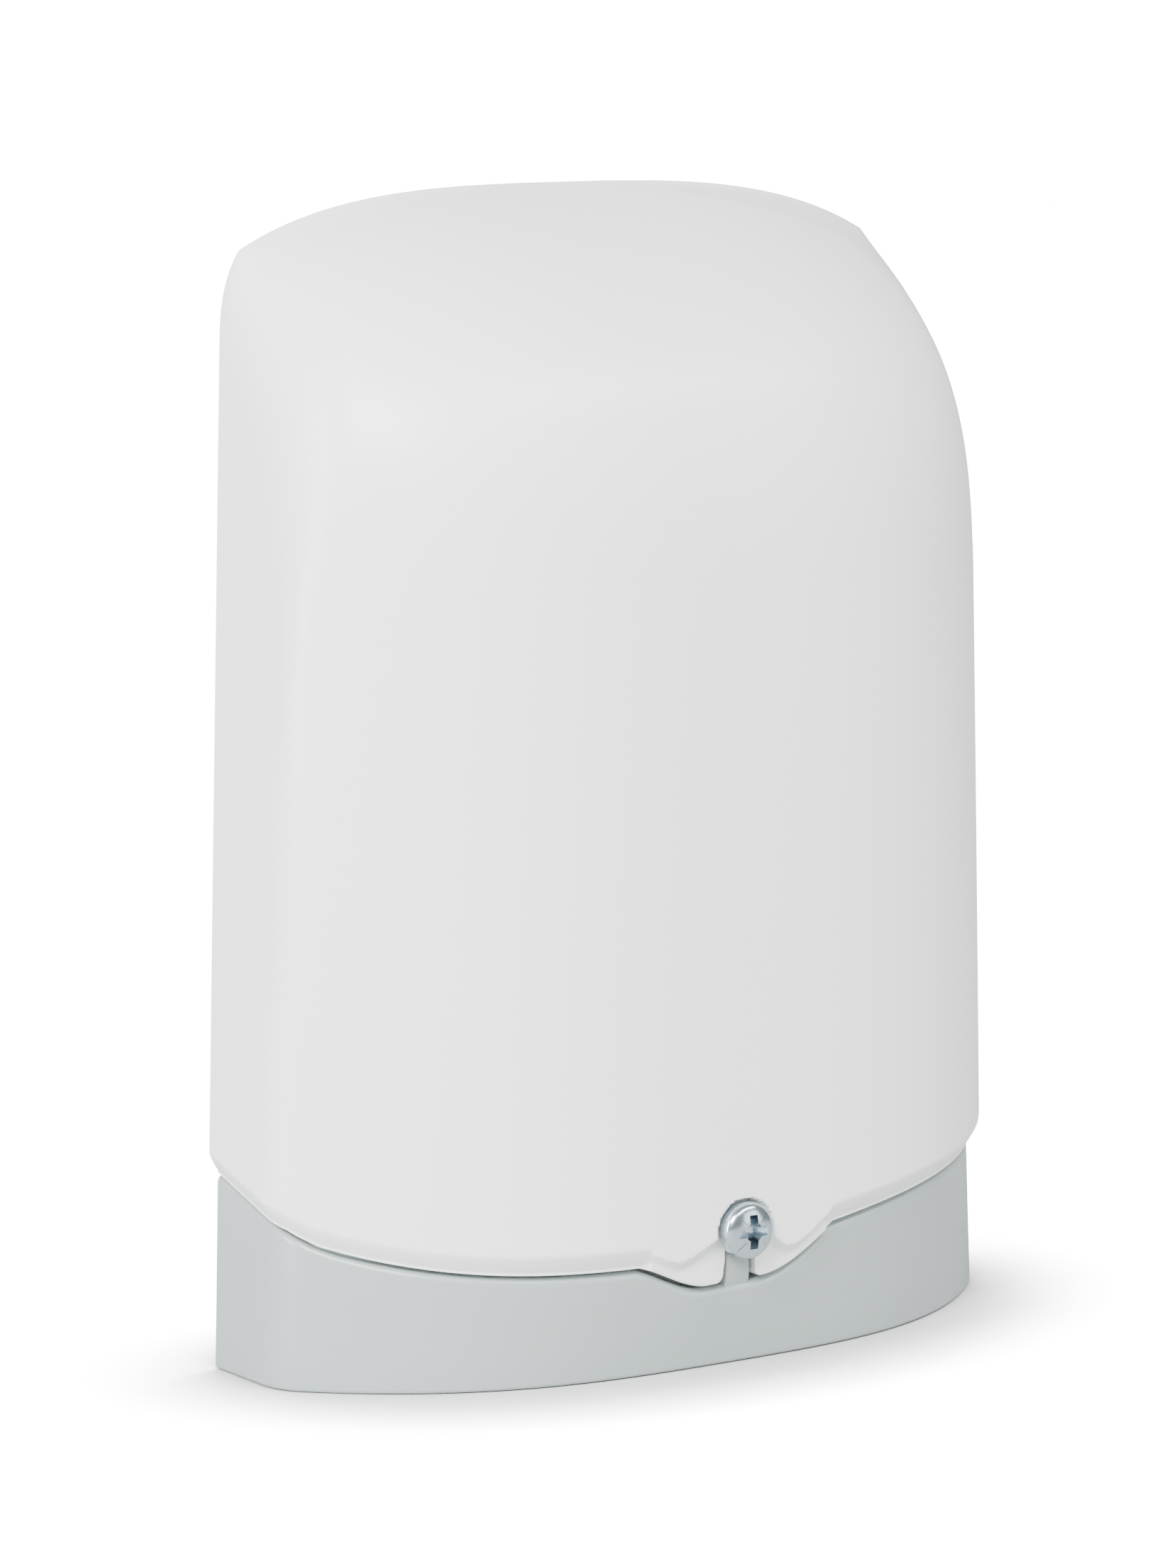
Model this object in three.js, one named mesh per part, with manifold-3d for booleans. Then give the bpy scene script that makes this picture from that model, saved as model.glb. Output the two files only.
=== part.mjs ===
// Wall-mounted motion sensor with a microwave radar module behind a plain white cover.
// Millimetres. +Z is up, the wall is the plane y = 0 and the front looks along -Y.
// Heights in this file are counted from the underside of the housing, depths from the wall.
import * as THREE from 'three';
import { mergeVertices } from 'three/addons/utils/BufferGeometryUtils.js';
import Module from 'manifold-3d';

const wasm = await Module();
wasm.setup();

// ---------- driving dimensions ----------
const ORIGIN_HEIGHT = 70; // height of the part's origin, on the rear face

// Cover: a bowed front that rolls back to the wall at the top.
const COVER_HALF_WIDTH = 50; // at TAPER_HEIGHT
const TAPER_HEIGHT = 75;
const TAPER = 0.042; // half-width lost per millimetre of height
const COVER_DEPTH = 38.4;
const COVER_BOW = 20.5; // how far the front falls back at a half-width of 50
const BOW_POWER = 3;
const COVER_TOP = 141.6;
const ROLL_START = 93.2; // height at which the front begins to roll back
const ROLL_POWER = 3.23;
const TOP_ARCH = 4.6;
const TOP_CORNER = { width: 9.97, height: 13.24, power: 2.5 };
const COVER_EDGE = 2.5; // fillet between side and front
const COVER_EDGE_GROWTH = 12.75; // how much that fillet grows up to the top
const COVER_WALL = 2.4;
const COVER_WALL_GAP = 0.6; // rear rim of the cover to the wall
const LIP_HEIGHT = 2.4; // bevelled strip along the lower edge of the cover
const LIP_BOW = 21.3;
const SIDE_DRAFT = 0.007;

// Grey housing chin below the cover.
const CHIN_HALF_WIDTH = 51.57;
const CHIN_TAPER = 0.048;
const CHIN_DEPTH = 34.4; // at the underside
const CHIN_LEAN = 2.2; // how much deeper its front is at the seam
const CHIN_BOW = 18.6;
const CHIN_EDGE = 3.3;
const CHIN_WALL = 2.6;
const SEAM_GAP = 0.45;
const UPSTAND_HEIGHT = 5; // inner wall that rises behind the cover's lip
const PLATE = 2.6;

// Cover screw and the lug that it clamps.
const SCREW_HEIGHT = 17;
const LUG_FRONT = 37.1;
const LUG_BACK = 33.6;
const LUG_HALF_WIDTH = 14;
const LUG_TIP_HEIGHT = 10.5;
const SLOT_HALF_WIDTH = 2.15;
const KEY_HALF_WIDTH = 1.75; // rib of the housing that fills the slot below the screw
const SCREW_HEAD_RADIUS = 3.5;
const SCREW_HEAD_HEIGHT = 2.6;
const WASHER = { radius: 3, hole: 1.95, thickness: 0.4 };
const SHANK_RADIUS = 1.75;
const SHANK_LENGTH = 12;
const GAP = 0.15; // between the screw, its washer and the lug

// Circuit boards.
const BOARD = { halfWidth: 38, low: 34, high: 123, back: 10, thickness: 1.6 };
const BOARD_FRONT = BOARD.back + BOARD.thickness;
const SOLDER = 0.15; // stand-off of soldered parts above the board
const RADAR = { halfWidth: 24, low: 82, high: 118, back: 24, thickness: 1 };
const TERMINAL_PITCH = 5.08;
const TERMINAL_POLES = 5;
const TERMINAL_X = -14;
const TAMPER = { x: 32, z: 75 };
const TRIMMER_X = [-31, -18, -5];
const TRIMMER_Z = 72;

// ---------- materials ----------
const material = (color, roughness, metalness = 0) =>
  new THREE.MeshStandardMaterial({ color, roughness, metalness });
const coverPlastic = material(0xe4e6e5, 0.55);
const housingPlastic = material(0xc3c9c8, 0.5);
const zincPlate = material(0xc9d2d8, 0.3, 1);
const nylon = material(0xe9e6dc, 0.5);
const boardLaminate = material(0x1f6b3c, 0.45);
const radarLaminate = material(0x24582f, 0.4);
const tinnedSteel = material(0xbfc3c4, 0.35, 1);
const terminalPlastic = material(0x2f7d4a, 0.5);
const blackPlastic = material(0x1b1c1e, 0.45);
const bluePlastic = material(0x2a5fb0, 0.45);
const ceramicBlue = material(0x2b59a8, 0.4);
const filmYellow = material(0xd8a51f, 0.45);
const canSleeve = material(0x20242c, 0.35);
const copperWinding = material(0xb5651d, 0.35, 1);
const ferrite = material(0x2c2b2a, 0.7);
const redLens = material(0xb81f1a, 0.2);
const greyRubber = material(0x5a5f62, 0.8);
const springSteel = material(0x9da2a6, 0.3, 1);

// ---------- solids ----------
function solid(geometry) {
  const bare = geometry.clone();
  bare.deleteAttribute('normal');
  bare.deleteAttribute('uv');
  const merged = mergeVertices(bare, 1e-4);
  return new wasm.Manifold(new wasm.Mesh({
    numProp: 3,
    vertProperties: merged.attributes.position.array,
    triVerts: new Uint32Array(merged.index.array),
  }));
}

function geometryOf(manifold) {
  const mesh = manifold.getMesh();
  const geometry = new THREE.BufferGeometry();
  geometry.setAttribute('position', new THREE.BufferAttribute(mesh.vertProperties, 3));
  geometry.setIndex(new THREE.BufferAttribute(mesh.triVerts, 1));
  return geometry;
}

const join = (...geometries) =>
  geometryOf(geometries.map(solid).reduce((sum, next) => sum.add(next)));
const cut = (body, ...tools) =>
  geometryOf(tools.map(solid).reduce((rest, tool) => rest.subtract(tool), solid(body)));
const common = (a, b) => geometryOf(solid(a).intersect(solid(b)));

// A front-view outline pushed through the depths near to far (near is closer to the wall).
function frontPrism(shape, near, far, curveSegments = 8) {
  const options = { depth: far - near, bevelEnabled: false, curveSegments };
  return new THREE.ExtrudeGeometry(shape, options).rotateX(Math.PI / 2).translate(0, -near, 0);
}

function block(x0, x1, near, far, z0, z1) {
  const box = new THREE.BoxGeometry(x1 - x0, far - near, z1 - z0);
  return box.translate((x0 + x1) / 2, -(near + far) / 2, (z0 + z1) / 2);
}

// A round bar along Y between two depths.
function frontRod(x, z, radius, near, far, segments = 20) {
  const rod = new THREE.CylinderGeometry(radius, radius, far - near, segments);
  return rod.translate(x, -(near + far) / 2, z);
}

// A turned shape whose axis runs along Y; the profile is [radius, depth] from the back.
function frontTurned(x, z, profile, segments = 24) {
  const points = profile.map(([radius, depth]) => new THREE.Vector2(radius, -depth));
  return new THREE.LatheGeometry(points.reverse(), segments).translate(x, 0, z);
}

function polygon(points) {
  return new THREE.Shape(points.map(([x, z]) => new THREE.Vector2(x, z)));
}

// A closed body through rings of equal length, each anticlockwise seen from above.
function loft(rings) {
  const count = rings[0].length;
  const positions = rings.flat();
  const triangles = [];
  for (let r = 0; r + 1 < rings.length; r += 1) {
    for (let i = 0; i < count; i += 1) {
      const a = r * count + i;
      const b = r * count + (i + 1) % count;
      triangles.push(a, b, b + count, a, b + count, a + count);
    }
  }
  for (const [start, up] of [[0, false], [(rings.length - 1) * count, true]]) {
    const ring = positions.slice(start, start + count);
    const centre = ring.reduce((sum, p) => sum.add(p), new THREE.Vector3()).divideScalar(count);
    const middle = positions.push(centre) - 1;
    for (let i = 0; i < count; i += 1) {
      const a = start + i;
      const b = start + (i + 1) % count;
      triangles.push(...(up ? [a, b, middle] : [b, a, middle]));
    }
  }
  const geometry = new THREE.BufferGeometry().setFromPoints(positions);
  geometry.setIndex(triangles);
  return geometry;
}

// ---------- the bowed plan section ----------
// Half of a D: up the side from the back, round the corner fillet and across the bowed front.
function planRing({ halfWidth, depth, bow, edge, back, fillets = 6, across = 18 }) {
  const fallBack = (x) => bow * (Math.abs(x) / COVER_HALF_WIDTH) ** BOW_POWER;
  let cornerDepth = Math.max(depth - fallBack(halfWidth), back + 0.15);
  let cornerX = halfWidth - SIDE_DRAFT * cornerDepth;
  if (depth - fallBack(cornerX) < cornerDepth) {
    cornerX = COVER_HALF_WIDTH * (Math.max(depth - cornerDepth, 0.02) / bow) ** (1 / BOW_POWER);
  } else {
    cornerDepth = depth - fallBack(cornerX);
  }
  const backX = Math.min(halfWidth, cornerX + SIDE_DRAFT * cornerDepth);
  const sideRun = Math.min(edge, 0.9 * (cornerDepth - back));
  const slope = Math.atan(bow * BOW_POWER / COVER_HALF_WIDTH
    * (cornerX / COVER_HALF_WIDTH) ** (BOW_POWER - 1));
  const frontX = cornerX - Math.min(edge * Math.cos(slope), 0.6 * cornerX);
  const corner = new THREE.QuadraticBezierCurve(
    new THREE.Vector2(frontX, depth - fallBack(frontX)),
    new THREE.Vector2(cornerX, cornerDepth),
    new THREE.Vector2(cornerX + (backX - cornerX) * sideRun / (cornerDepth - back), cornerDepth - sideRun),
  );
  const half = [];
  for (let i = 0; i < across / 2; i += 1) {
    const x = frontX * i / (across / 2);
    half.push(new THREE.Vector2(x, depth - fallBack(x)));
  }
  half.push(...corner.getPoints(fillets), new THREE.Vector2(backX, back));
  const other = half.slice(1).reverse().map((p) => new THREE.Vector2(-p.x, p.y));
  return [...other, ...half];
}

const raise = (ring, height) =>
  ring.map((p) => new THREE.Vector3(p.x, -p.y, height(p.x, p.y)));

// Lower edge of the cover: low in the middle, higher at the corners and towards the wall.
function seamHeight(x, depth) {
  const out = Math.min(Math.abs(x) / 50, 1);
  const front = x < 0 ? 13.8 + 4.9 * out ** 4.5 : 18.95 - 5.15 * (1 - out) ** 1.7;
  const cornerDepth = 18;
  return front + 0.31 * Math.max(0, cornerDepth - depth);
}

// ---------- cover ----------
// Front depth and half-width of the cover at a height, offset inwards by a wall.
function coverDepth(z, wall) {
  const s = THREE.MathUtils.clamp((z - ROLL_START) / (COVER_TOP - wall - ROLL_START), 0, 1);
  return (COVER_DEPTH - wall) * (1 - s ** ROLL_POWER);
}

function coverOutline(x, sideX, wall) {
  const a = THREE.MathUtils.clamp((x - (sideX - TOP_CORNER.width)) / TOP_CORNER.width, 0, 1);
  const corner = 1 - (1 - a ** TOP_CORNER.power) ** (1 / TOP_CORNER.power);
  return COVER_TOP - wall - TOP_ARCH * (x / sideX) ** 2 - TOP_CORNER.height * corner;
}

function coverHalfWidth(z, wall) {
  const sideX = COVER_HALF_WIDTH - TAPER * (z - TAPER_HEIGHT) - wall;
  if (coverOutline(sideX, sideX, wall) >= z) return sideX;
  let low = 0;
  let high = sideX;
  for (let i = 0; i < 30; i += 1) {
    const middle = (low + high) / 2;
    if (coverOutline(middle, sideX, wall) >= z) low = middle;
    else high = middle;
  }
  return low;
}

function coverRing(z, wall, back, detail) {
  const s = THREE.MathUtils.clamp((z - ROLL_START) / (COVER_TOP - wall - ROLL_START), 0, 1);
  const edge = Math.max(COVER_EDGE + COVER_EDGE_GROWTH * s - 0.5 * wall, 0.8);
  const section = { halfWidth: coverHalfWidth(z, wall), depth: coverDepth(z, wall), bow: COVER_BOW };
  return raise(planRing({ ...section, edge, back, ...detail }), () => z);
}

function coverShape(wall, back, lowerRings, rollSteps, detail) {
  const rings = [...lowerRings];
  for (const straight of [40, 66]) rings.push(coverRing(straight, wall, back, detail));
  const lastAngle = THREE.MathUtils.degToRad(83.5);
  for (let i = 0; i <= rollSteps; i += 1) {
    const z = ROLL_START + (COVER_TOP - wall - ROLL_START) * Math.sin(lastAngle * i / rollSteps);
    rings.push(coverRing(z, wall, back, detail));
  }
  return loft(rings);
}

// Plan sections along the lip: outside edge, inside edge, and the chin's upstand behind it.
const lipOuter = { halfWidth: 50.9, depth: LUG_FRONT - 0.2, bow: LIP_BOW, edge: 2.4 };
const lipInner = { halfWidth: 48.6, depth: LUG_BACK, bow: 18.8, edge: 1.6 };
const upstandOuter = { halfWidth: 48.2, depth: LUG_BACK - 0.4, bow: 18.8, edge: 2 };

function lugShape(margin) {
  const side = LUG_HALF_WIDTH + margin;
  const tip = LUG_TIP_HEIGHT - margin;
  const shape = new THREE.Shape();
  shape.moveTo(-side, 18.5);
  shape.lineTo(-side, 13.7 - margin);
  shape.bezierCurveTo(-10.8, 12.8 - margin, -8.6, tip + 0.1, -4.8, tip);
  shape.lineTo(3.6, tip + 0.3);
  shape.bezierCurveTo(6.4, tip + 0.7, 9.4, 13.8 - margin, side, 16.2 - margin);
  shape.lineTo(side, 18.5);
  shape.closePath();
  return shape;
}

// Slot for the screw's shank, open downwards, with its lower corners rounded.
function slotShape() {
  const shape = new THREE.Shape();
  shape.moveTo(-4.2, 6);
  shape.lineTo(-3.4, LUG_TIP_HEIGHT);
  shape.quadraticCurveTo(-SLOT_HALF_WIDTH, LUG_TIP_HEIGHT + 0.1, -SLOT_HALF_WIDTH, LUG_TIP_HEIGHT + 1.4);
  shape.lineTo(-SLOT_HALF_WIDTH, SCREW_HEIGHT);
  shape.absarc(0, SCREW_HEIGHT, SLOT_HALF_WIDTH, Math.PI, 0, true);
  shape.lineTo(SLOT_HALF_WIDTH, LUG_TIP_HEIGHT + 1.4);
  shape.quadraticCurveTo(SLOT_HALF_WIDTH, LUG_TIP_HEIGHT + 0.1, 3.4, LUG_TIP_HEIGHT);
  shape.lineTo(4.2, 6);
  shape.closePath();
  return shape;
}

// Shallow recess in front of the lug: two dips beside the screw, and an arch round its head.
function recessShape() {
  const low = 6;
  const arch = SCREW_HEAD_RADIUS + 0.2;
  const shape = new THREE.Shape();
  shape.moveTo(-12.7, low);
  shape.lineTo(-12.7, 15.3);
  shape.quadraticCurveTo(-9.8, 13.5, -7.9, 14.4);
  shape.absarc(0, SCREW_HEIGHT, arch, Math.PI * 1.04, -Math.PI * 0.06, true);
  shape.lineTo(4.9, 14.9);
  shape.quadraticCurveTo(6.3, 13.6, 8.3, 14.9);
  shape.lineTo(12.5, 17.6);
  shape.lineTo(12.5, low);
  shape.closePath();
  return shape;
}

function frontCover() {
  const detail = { fillets: 6, across: 20 };
  const lipEdge = raise(planRing({ ...lipOuter, back: COVER_WALL_GAP, ...detail }), seamHeight);
  const lipTop = coverRing(20, 0, COVER_WALL_GAP, detail);
  lipTop.forEach((p) => p.setZ(seamHeight(p.x, -p.y) + LIP_HEIGHT));
  const outside = coverShape(0, COVER_WALL_GAP, [lipEdge, lipTop], 16, detail);

  const coarse = { fillets: 3, across: 14 };
  const below = raise(planRing({ ...lipInner, back: -2, ...coarse }), () => 2);
  const innerEdge = raise(planRing({ ...lipInner, back: -2, ...coarse }), seamHeight);
  const innerTop = coverRing(20, COVER_WALL, -2, coarse);
  innerTop.forEach((p) => p.setZ(seamHeight(p.x, -p.y) + LIP_HEIGHT + 1));
  const inside = coverShape(COVER_WALL, -2, [below, innerEdge, innerTop], 10, coarse);

  const shell = cut(outside, inside);
  const lug = frontPrism(lugShape(0), LUG_BACK, LUG_FRONT, 6);
  const web = block(-LUG_HALF_WIDTH, LUG_HALF_WIDTH, LUG_BACK, LUG_FRONT - 0.3, 17, 24);
  const padded = join(shell, lug, web);
  const recess = frontPrism(recessShape(), LUG_FRONT, 45, 5);
  const slot = frontPrism(slotShape(), LUG_BACK - 4, 45, 5);
  return join(cut(padded, recess, slot), coverTongue(1), coverTongue(-1), tamperPost());
}

// Inward lip along each side of the cover that runs behind the housing's flange.
function coverTongue(side) {
  const low = 37;
  const high = 110;
  const wallX = (z) => COVER_HALF_WIDTH - TAPER * (z - TAPER_HEIGHT) - COVER_WALL;
  const outline = [
    [side * (wallX(low) + 0.6), low], [side * (wallX(high) + 0.6), high],
    [side * (wallX(high) - 2.6), high], [side * (wallX(low) - 2.6), low],
  ];
  return frontPrism(polygon(side > 0 ? outline : outline.reverse()), COVER_WALL_GAP, 2.2);
}

// Post inside the cover that faces the tamper switch.
function tamperPost() {
  const { x, z } = TAMPER;
  const radius = 2;
  const tip = 22.6;
  const foot = 31.4;
  return frontRod(x, z, radius, tip, foot, 12);
}

// ---------- rear housing ----------
const MOUNT_HOLES = [[-27, 29.5], [27, 29.5], [0, 129]];
const CABLE_ENTRY = { x: -14, z: 15.5, radius: 7 };
const BOARD_POSTS = [[-34.5, 38], [34.5, 38], [-34.5, 119], [34.5, 119]];

function plateOutline(inset, narrowest) {
  const wallX = (z) => Math.min(COVER_HALF_WIDTH - TAPER * (z - TAPER_HEIGHT) - inset, narrowest);
  const bend = TAPER_HEIGHT + (COVER_HALF_WIDTH - inset - narrowest) / TAPER;
  const top = 136.4;
  const right = [[wallX(20), 1], [wallX(bend), bend], [wallX(top), top]];
  return polygon([...right, ...right.map(([x, z]) => [-x, z]).reverse()]);
}

// Slotted or round fixing hole, drawn in front view.
function fixingHole([x, z], halfLength) {
  const radius = 2.4;
  const shape = new THREE.Shape();
  shape.absarc(x + halfLength, z, radius, -Math.PI / 2, Math.PI / 2, false);
  shape.absarc(x - halfLength, z, radius, Math.PI / 2, Math.PI * 1.5, false);
  shape.closePath();
  return frontPrism(shape, -1, PLATE + 3, 8);
}

// The same plan section drawn in from its sides and front, with a fillet of its own.
function inset(section, sides, front, edge) {
  return { ...section, halfWidth: section.halfWidth - sides, depth: section.depth - front, edge };
}

function chin() {
  const detail = { fillets: 5, across: 18 };
  const outer = { halfWidth: CHIN_HALF_WIDTH, depth: CHIN_DEPTH, bow: CHIN_BOW, edge: CHIN_EDGE };
  const topHalfWidth = CHIN_HALF_WIDTH - CHIN_TAPER * 20;
  const outerTop = { ...outer, halfWidth: topHalfWidth, depth: CHIN_DEPTH + CHIN_LEAN, bow: LIP_BOW };
  const body = loft([
    raise(planRing({ ...outer, back: 0, ...detail }), () => 0),
    raise(planRing({ ...outerTop, back: 0, ...detail }), (x, d) => seamHeight(x, d) - SEAM_GAP),
  ]);
  const upstand = loft([
    raise(planRing({ ...upstandOuter, back: 0, ...detail }), () => 3),
    raise(planRing({ ...upstandOuter, back: 0, ...detail }), (x, d) => seamHeight(x, d) + UPSTAND_HEIGHT),
  ]);
  const room = inset(outer, CHIN_WALL + CHIN_HALF_WIDTH - topHalfWidth, CHIN_WALL, 1.4);
  const neck = inset(upstandOuter, 2.1, 2.1, 1.2);
  const coarse = { fillets: 3, across: 14, back: PLATE };
  const lower = loft([
    raise(planRing({ ...room, ...coarse }), () => CHIN_WALL),
    raise(planRing({ ...room, ...coarse }), (x, d) => seamHeight(x, d) - 3.4),
  ]);
  const upper = loft([
    raise(planRing({ ...neck, ...coarse }), () => CHIN_WALL + 0.4),
    raise(planRing({ ...neck, ...coarse }), (x, d) => seamHeight(x, d) + UPSTAND_HEIGHT + 4),
  ]);
  return cut(join(body, upstand), lower, upper);
}

function rearHousing() {
  const slab = frontPrism(plateOutline(5.8, 45.2), 0, PLATE);
  const flange = frontPrism(plateOutline(2.9, 48.2), PLATE, PLATE + 2);
  const flangeStart = block(-60, 60, PLATE, PLATE + 2, 34, 140);
  const trimmer = coverShape(COVER_WALL + 0.6, -2, [coverRing(0, COVER_WALL + 0.6, -2)], 10, {});
  const plate = common(join(slab, common(flange, flangeStart)), trimmer);

  const posts = BOARD_POSTS.map(([x, z]) => frontRod(x, z, 3.2, PLATE - 0.5, BOARD.back - 0.1, 16));
  const screwBoss = frontRod(0, SCREW_HEIGHT, 4, 24, LUG_BACK - 0.35, 20);
  const bossRib = block(-1.1, 1.1, 26, 31.4, 4, SCREW_HEIGHT);
  const notch = frontPrism(lugShape(SEAM_GAP), LUG_BACK - 0.3, 45, 6);
  const key = block(-KEY_HALF_WIDTH, KEY_HALF_WIDTH, 30, LUG_FRONT - 0.5, 9, 14.6);
  const body = cut(join(plate, chin()), notch);

  const entry = frontRod(CABLE_ENTRY.x, CABLE_ENTRY.z, CABLE_ENTRY.radius, -1, PLATE + 1, 28);
  const holes = MOUNT_HOLES.map((place, i) => fixingHole(place, i < 2 ? 2.4 : 0.01));
  const pilots = BOARD_POSTS.map(([x, z]) => frontRod(x, z, 1.5, PLATE + 1.4, BOARD.back + 1, 12));
  const screwPilot = frontRod(0, SCREW_HEIGHT, SHANK_RADIUS + 0.15, 22, 40, 16);
  const full = join(body, ...posts, screwBoss, bossRib, key);
  return cut(full, entry, ...holes, ...pilots, screwPilot);
}

function cableGrommet() {
  const { radius } = CABLE_ENTRY;
  return frontTurned(CABLE_ENTRY.x, CABLE_ENTRY.z, [
    [4.6, 0.5], [radius - 0.3, 0.5], [radius - 0.3, PLATE + 0.3], [radius + 1.6, PLATE + 0.3],
    [radius + 1.4, PLATE + 1.5], [radius - 1, PLATE + 2.4], [4.6, PLATE + 3.4], [4.6, 0.5],
  ], 28);
}

// ---------- cover screw ----------
function crossRecess() {
  const blade = (angle) => {
    const wing = new THREE.BoxGeometry(3.7, 1.7, 0.85);
    return wing.rotateY(angle).translate(0, -SCREW_HEAD_HEIGHT, 0);
  };
  return join(blade(0), blade(Math.PI / 2), new THREE.CylinderGeometry(0.95, 0.95, 2.2, 8)
    .translate(0, -SCREW_HEAD_HEIGHT, 0));
}

// The screw is drawn with its seat at y = 0 and the head towards -Y.
function coverScrew() {
  const profile = [new THREE.Vector2(0, -SCREW_HEAD_HEIGHT)];
  const dome = new THREE.SplineCurve([
    new THREE.Vector2(0, -SCREW_HEAD_HEIGHT), new THREE.Vector2(1.7, -SCREW_HEAD_HEIGHT + 0.28),
    new THREE.Vector2(2.9, -SCREW_HEAD_HEIGHT + 0.95), new THREE.Vector2(SCREW_HEAD_RADIUS, -0.75),
  ]);
  profile.push(...dome.getPoints(8).slice(1));
  profile.push(new THREE.Vector2(SCREW_HEAD_RADIUS, -0.3), new THREE.Vector2(SCREW_HEAD_RADIUS - 0.3, 0));
  profile.push(new THREE.Vector2(SHANK_RADIUS, 0), new THREE.Vector2(SHANK_RADIUS, SHANK_LENGTH - 1.6));
  profile.push(new THREE.Vector2(0, SHANK_LENGTH));
  return cut(new THREE.LatheGeometry(profile, 28), crossRecess());
}

function screwWasher() {
  const { radius, hole, thickness } = WASHER;
  const front = -thickness;
  return new THREE.LatheGeometry([
    new THREE.Vector2(hole, front), new THREE.Vector2(radius, front),
    new THREE.Vector2(radius, 0), new THREE.Vector2(hole, 0), new THREE.Vector2(hole, front),
  ], 24);
}

// ---------- circuit boards and what they carry ----------
const onBoard = (height) => BOARD_FRONT + SOLDER + height;

function mainBoard() {
  const { halfWidth, low, high, back, thickness } = BOARD;
  const chamfer = 6;
  const outline = polygon([
    [-halfWidth, low], [halfWidth, low], [halfWidth, high - chamfer], [halfWidth - chamfer, high],
    [-halfWidth + chamfer, high], [-halfWidth, high - chamfer],
  ]);
  const holes = BOARD_POSTS.map(([x, z]) => frontRod(x, z, 1.7, back - 1, back + thickness + 1, 12));
  return cut(frontPrism(outline, back, back + thickness), ...holes);
}

// Pan head with a plain cross slot; the shank ends inside the housing's post.
function boardScrew(x, z) {
  const seat = BOARD_FRONT + GAP;
  const body = frontTurned(x, z, [
    [0, 5], [1.2, 5.4], [1.2, seat], [2.8, seat], [2.8, seat + 0.9], [1.8, seat + 1.9], [0, seat + 2.1],
  ], 16);
  const slot = block(x - 1.6, x + 1.6, seat + 1.1, seat + 3, z - 0.35, z + 0.35);
  const cross = block(x - 0.35, x + 0.35, seat + 1.1, seat + 3, z - 1.6, z + 1.6);
  return cut(body, slot, cross);
}

// Rising-clamp terminal block: wire mouths face down, clamp screws face the front.
const TERMINAL = { low: 38, high: 47, height: 10.5 };
const poleX = (i) => TERMINAL_X + (i - (TERMINAL_POLES - 1) / 2) * TERMINAL_PITCH;

function terminalBlock() {
  const half = TERMINAL_POLES * TERMINAL_PITCH / 2;
  const { low, high, height } = TERMINAL;
  const body = block(TERMINAL_X - half, TERMINAL_X + half, onBoard(0), onBoard(height), low, high);
  const tools = [];
  for (let i = 0; i < TERMINAL_POLES; i += 1) {
    const x = poleX(i);
    tools.push(block(x - 2.05, x + 2.05, onBoard(1.2), onBoard(5.4), low - 1, low + 6.6));
    tools.push(frontRod(x, low + 4.4, 2.1, onBoard(6.2), onBoard(height + 1), 14));
  }
  return cut(body, ...tools);
}

// Slotted clamp screw, lying in its well in the terminal block.
function terminalScrew(x, z) {
  const body = frontRod(x, z, 1.8, onBoard(6.5), onBoard(9.4), 14);
  return cut(body, block(x - 2.2, x + 2.2, onBoard(8.5), onBoard(10), z - 0.35, z + 0.35));
}

function relay() {
  const can = block(-33, -17.5, onBoard(0.4), onBoard(15.4), 51, 66);
  return cut(can, block(-34, -16.5, onBoard(14.6), onBoard(16), 50, 51.8));
}

function transformerCore() {
  const body = block(-10, 9, onBoard(0.8), onBoard(13.4), 49, 65);
  return cut(body, block(-6.4, 5.4, onBoard(-1), onBoard(15), 51.6, 62.4));
}

function transformerWinding() {
  const shape = new THREE.Shape();
  shape.absarc(-0.5, 57, 5, 0, Math.PI * 2, false);
  return frontPrism(shape, onBoard(1.4), onBoard(12.6), 10);
}

// Electrolytic capacitor standing on the board, with its crimp groove near the foot.
function canCapacitor(x, z, radius, height) {
  return frontTurned(x, z, [
    [0, onBoard(0)], [radius - 0.5, onBoard(0)], [radius, onBoard(0.5)], [radius, onBoard(1.6)],
    [radius - 0.5, onBoard(2.1)], [radius, onBoard(2.6)], [radius, onBoard(height - 0.5)],
    [radius - 0.5, onBoard(height)], [0, onBoard(height)],
  ], 20);
}

function filmCapacitor() {
  return block(24.5, 32.5, onBoard(0.3), onBoard(13), 45, 62);
}

function fuse() {
  return frontTurned(6, 42.5, [
    [0, onBoard(0.4)], [4.1, onBoard(0.4)], [4.1, onBoard(7.6)], [3.6, onBoard(8)], [0, onBoard(8)],
  ], 20);
}

// Disc varistor standing on edge.
function varistor() {
  const disc = new THREE.CylinderGeometry(5, 5, 3.6, 22);
  return disc.rotateX(Math.PI / 2).translate(18, -onBoard(5.6), 42);
}

function controllerChip() {
  const chip = block(6, 16, onBoard(0), onBoard(1.4), 68, 78);
  return cut(chip, frontRod(7.6, 76.4, 0.6, onBoard(1.2), onBoard(2), 10));
}

function trimmerBody(x) {
  const body = block(x - 4.8, x + 4.8, onBoard(0), onBoard(4.6), TRIMMER_Z - 4.8, TRIMMER_Z + 4.8);
  return cut(body, frontRod(x, TRIMMER_Z, 3.3, onBoard(1), onBoard(6), 20));
}

// Knob drawn on its own axis, with a pointer slot across its face.
function trimmerKnob() {
  const knob = frontTurned(0, 0, [[0, 0], [2.9, 0], [2.9, 6.6], [2.6, 7], [0, 7]], 20);
  return cut(knob, block(-2.3, 2.3, 6, 8, -0.4, 0.4), block(1.1, 2.3, 5.6, 8, -0.4, 0.4));
}

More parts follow.
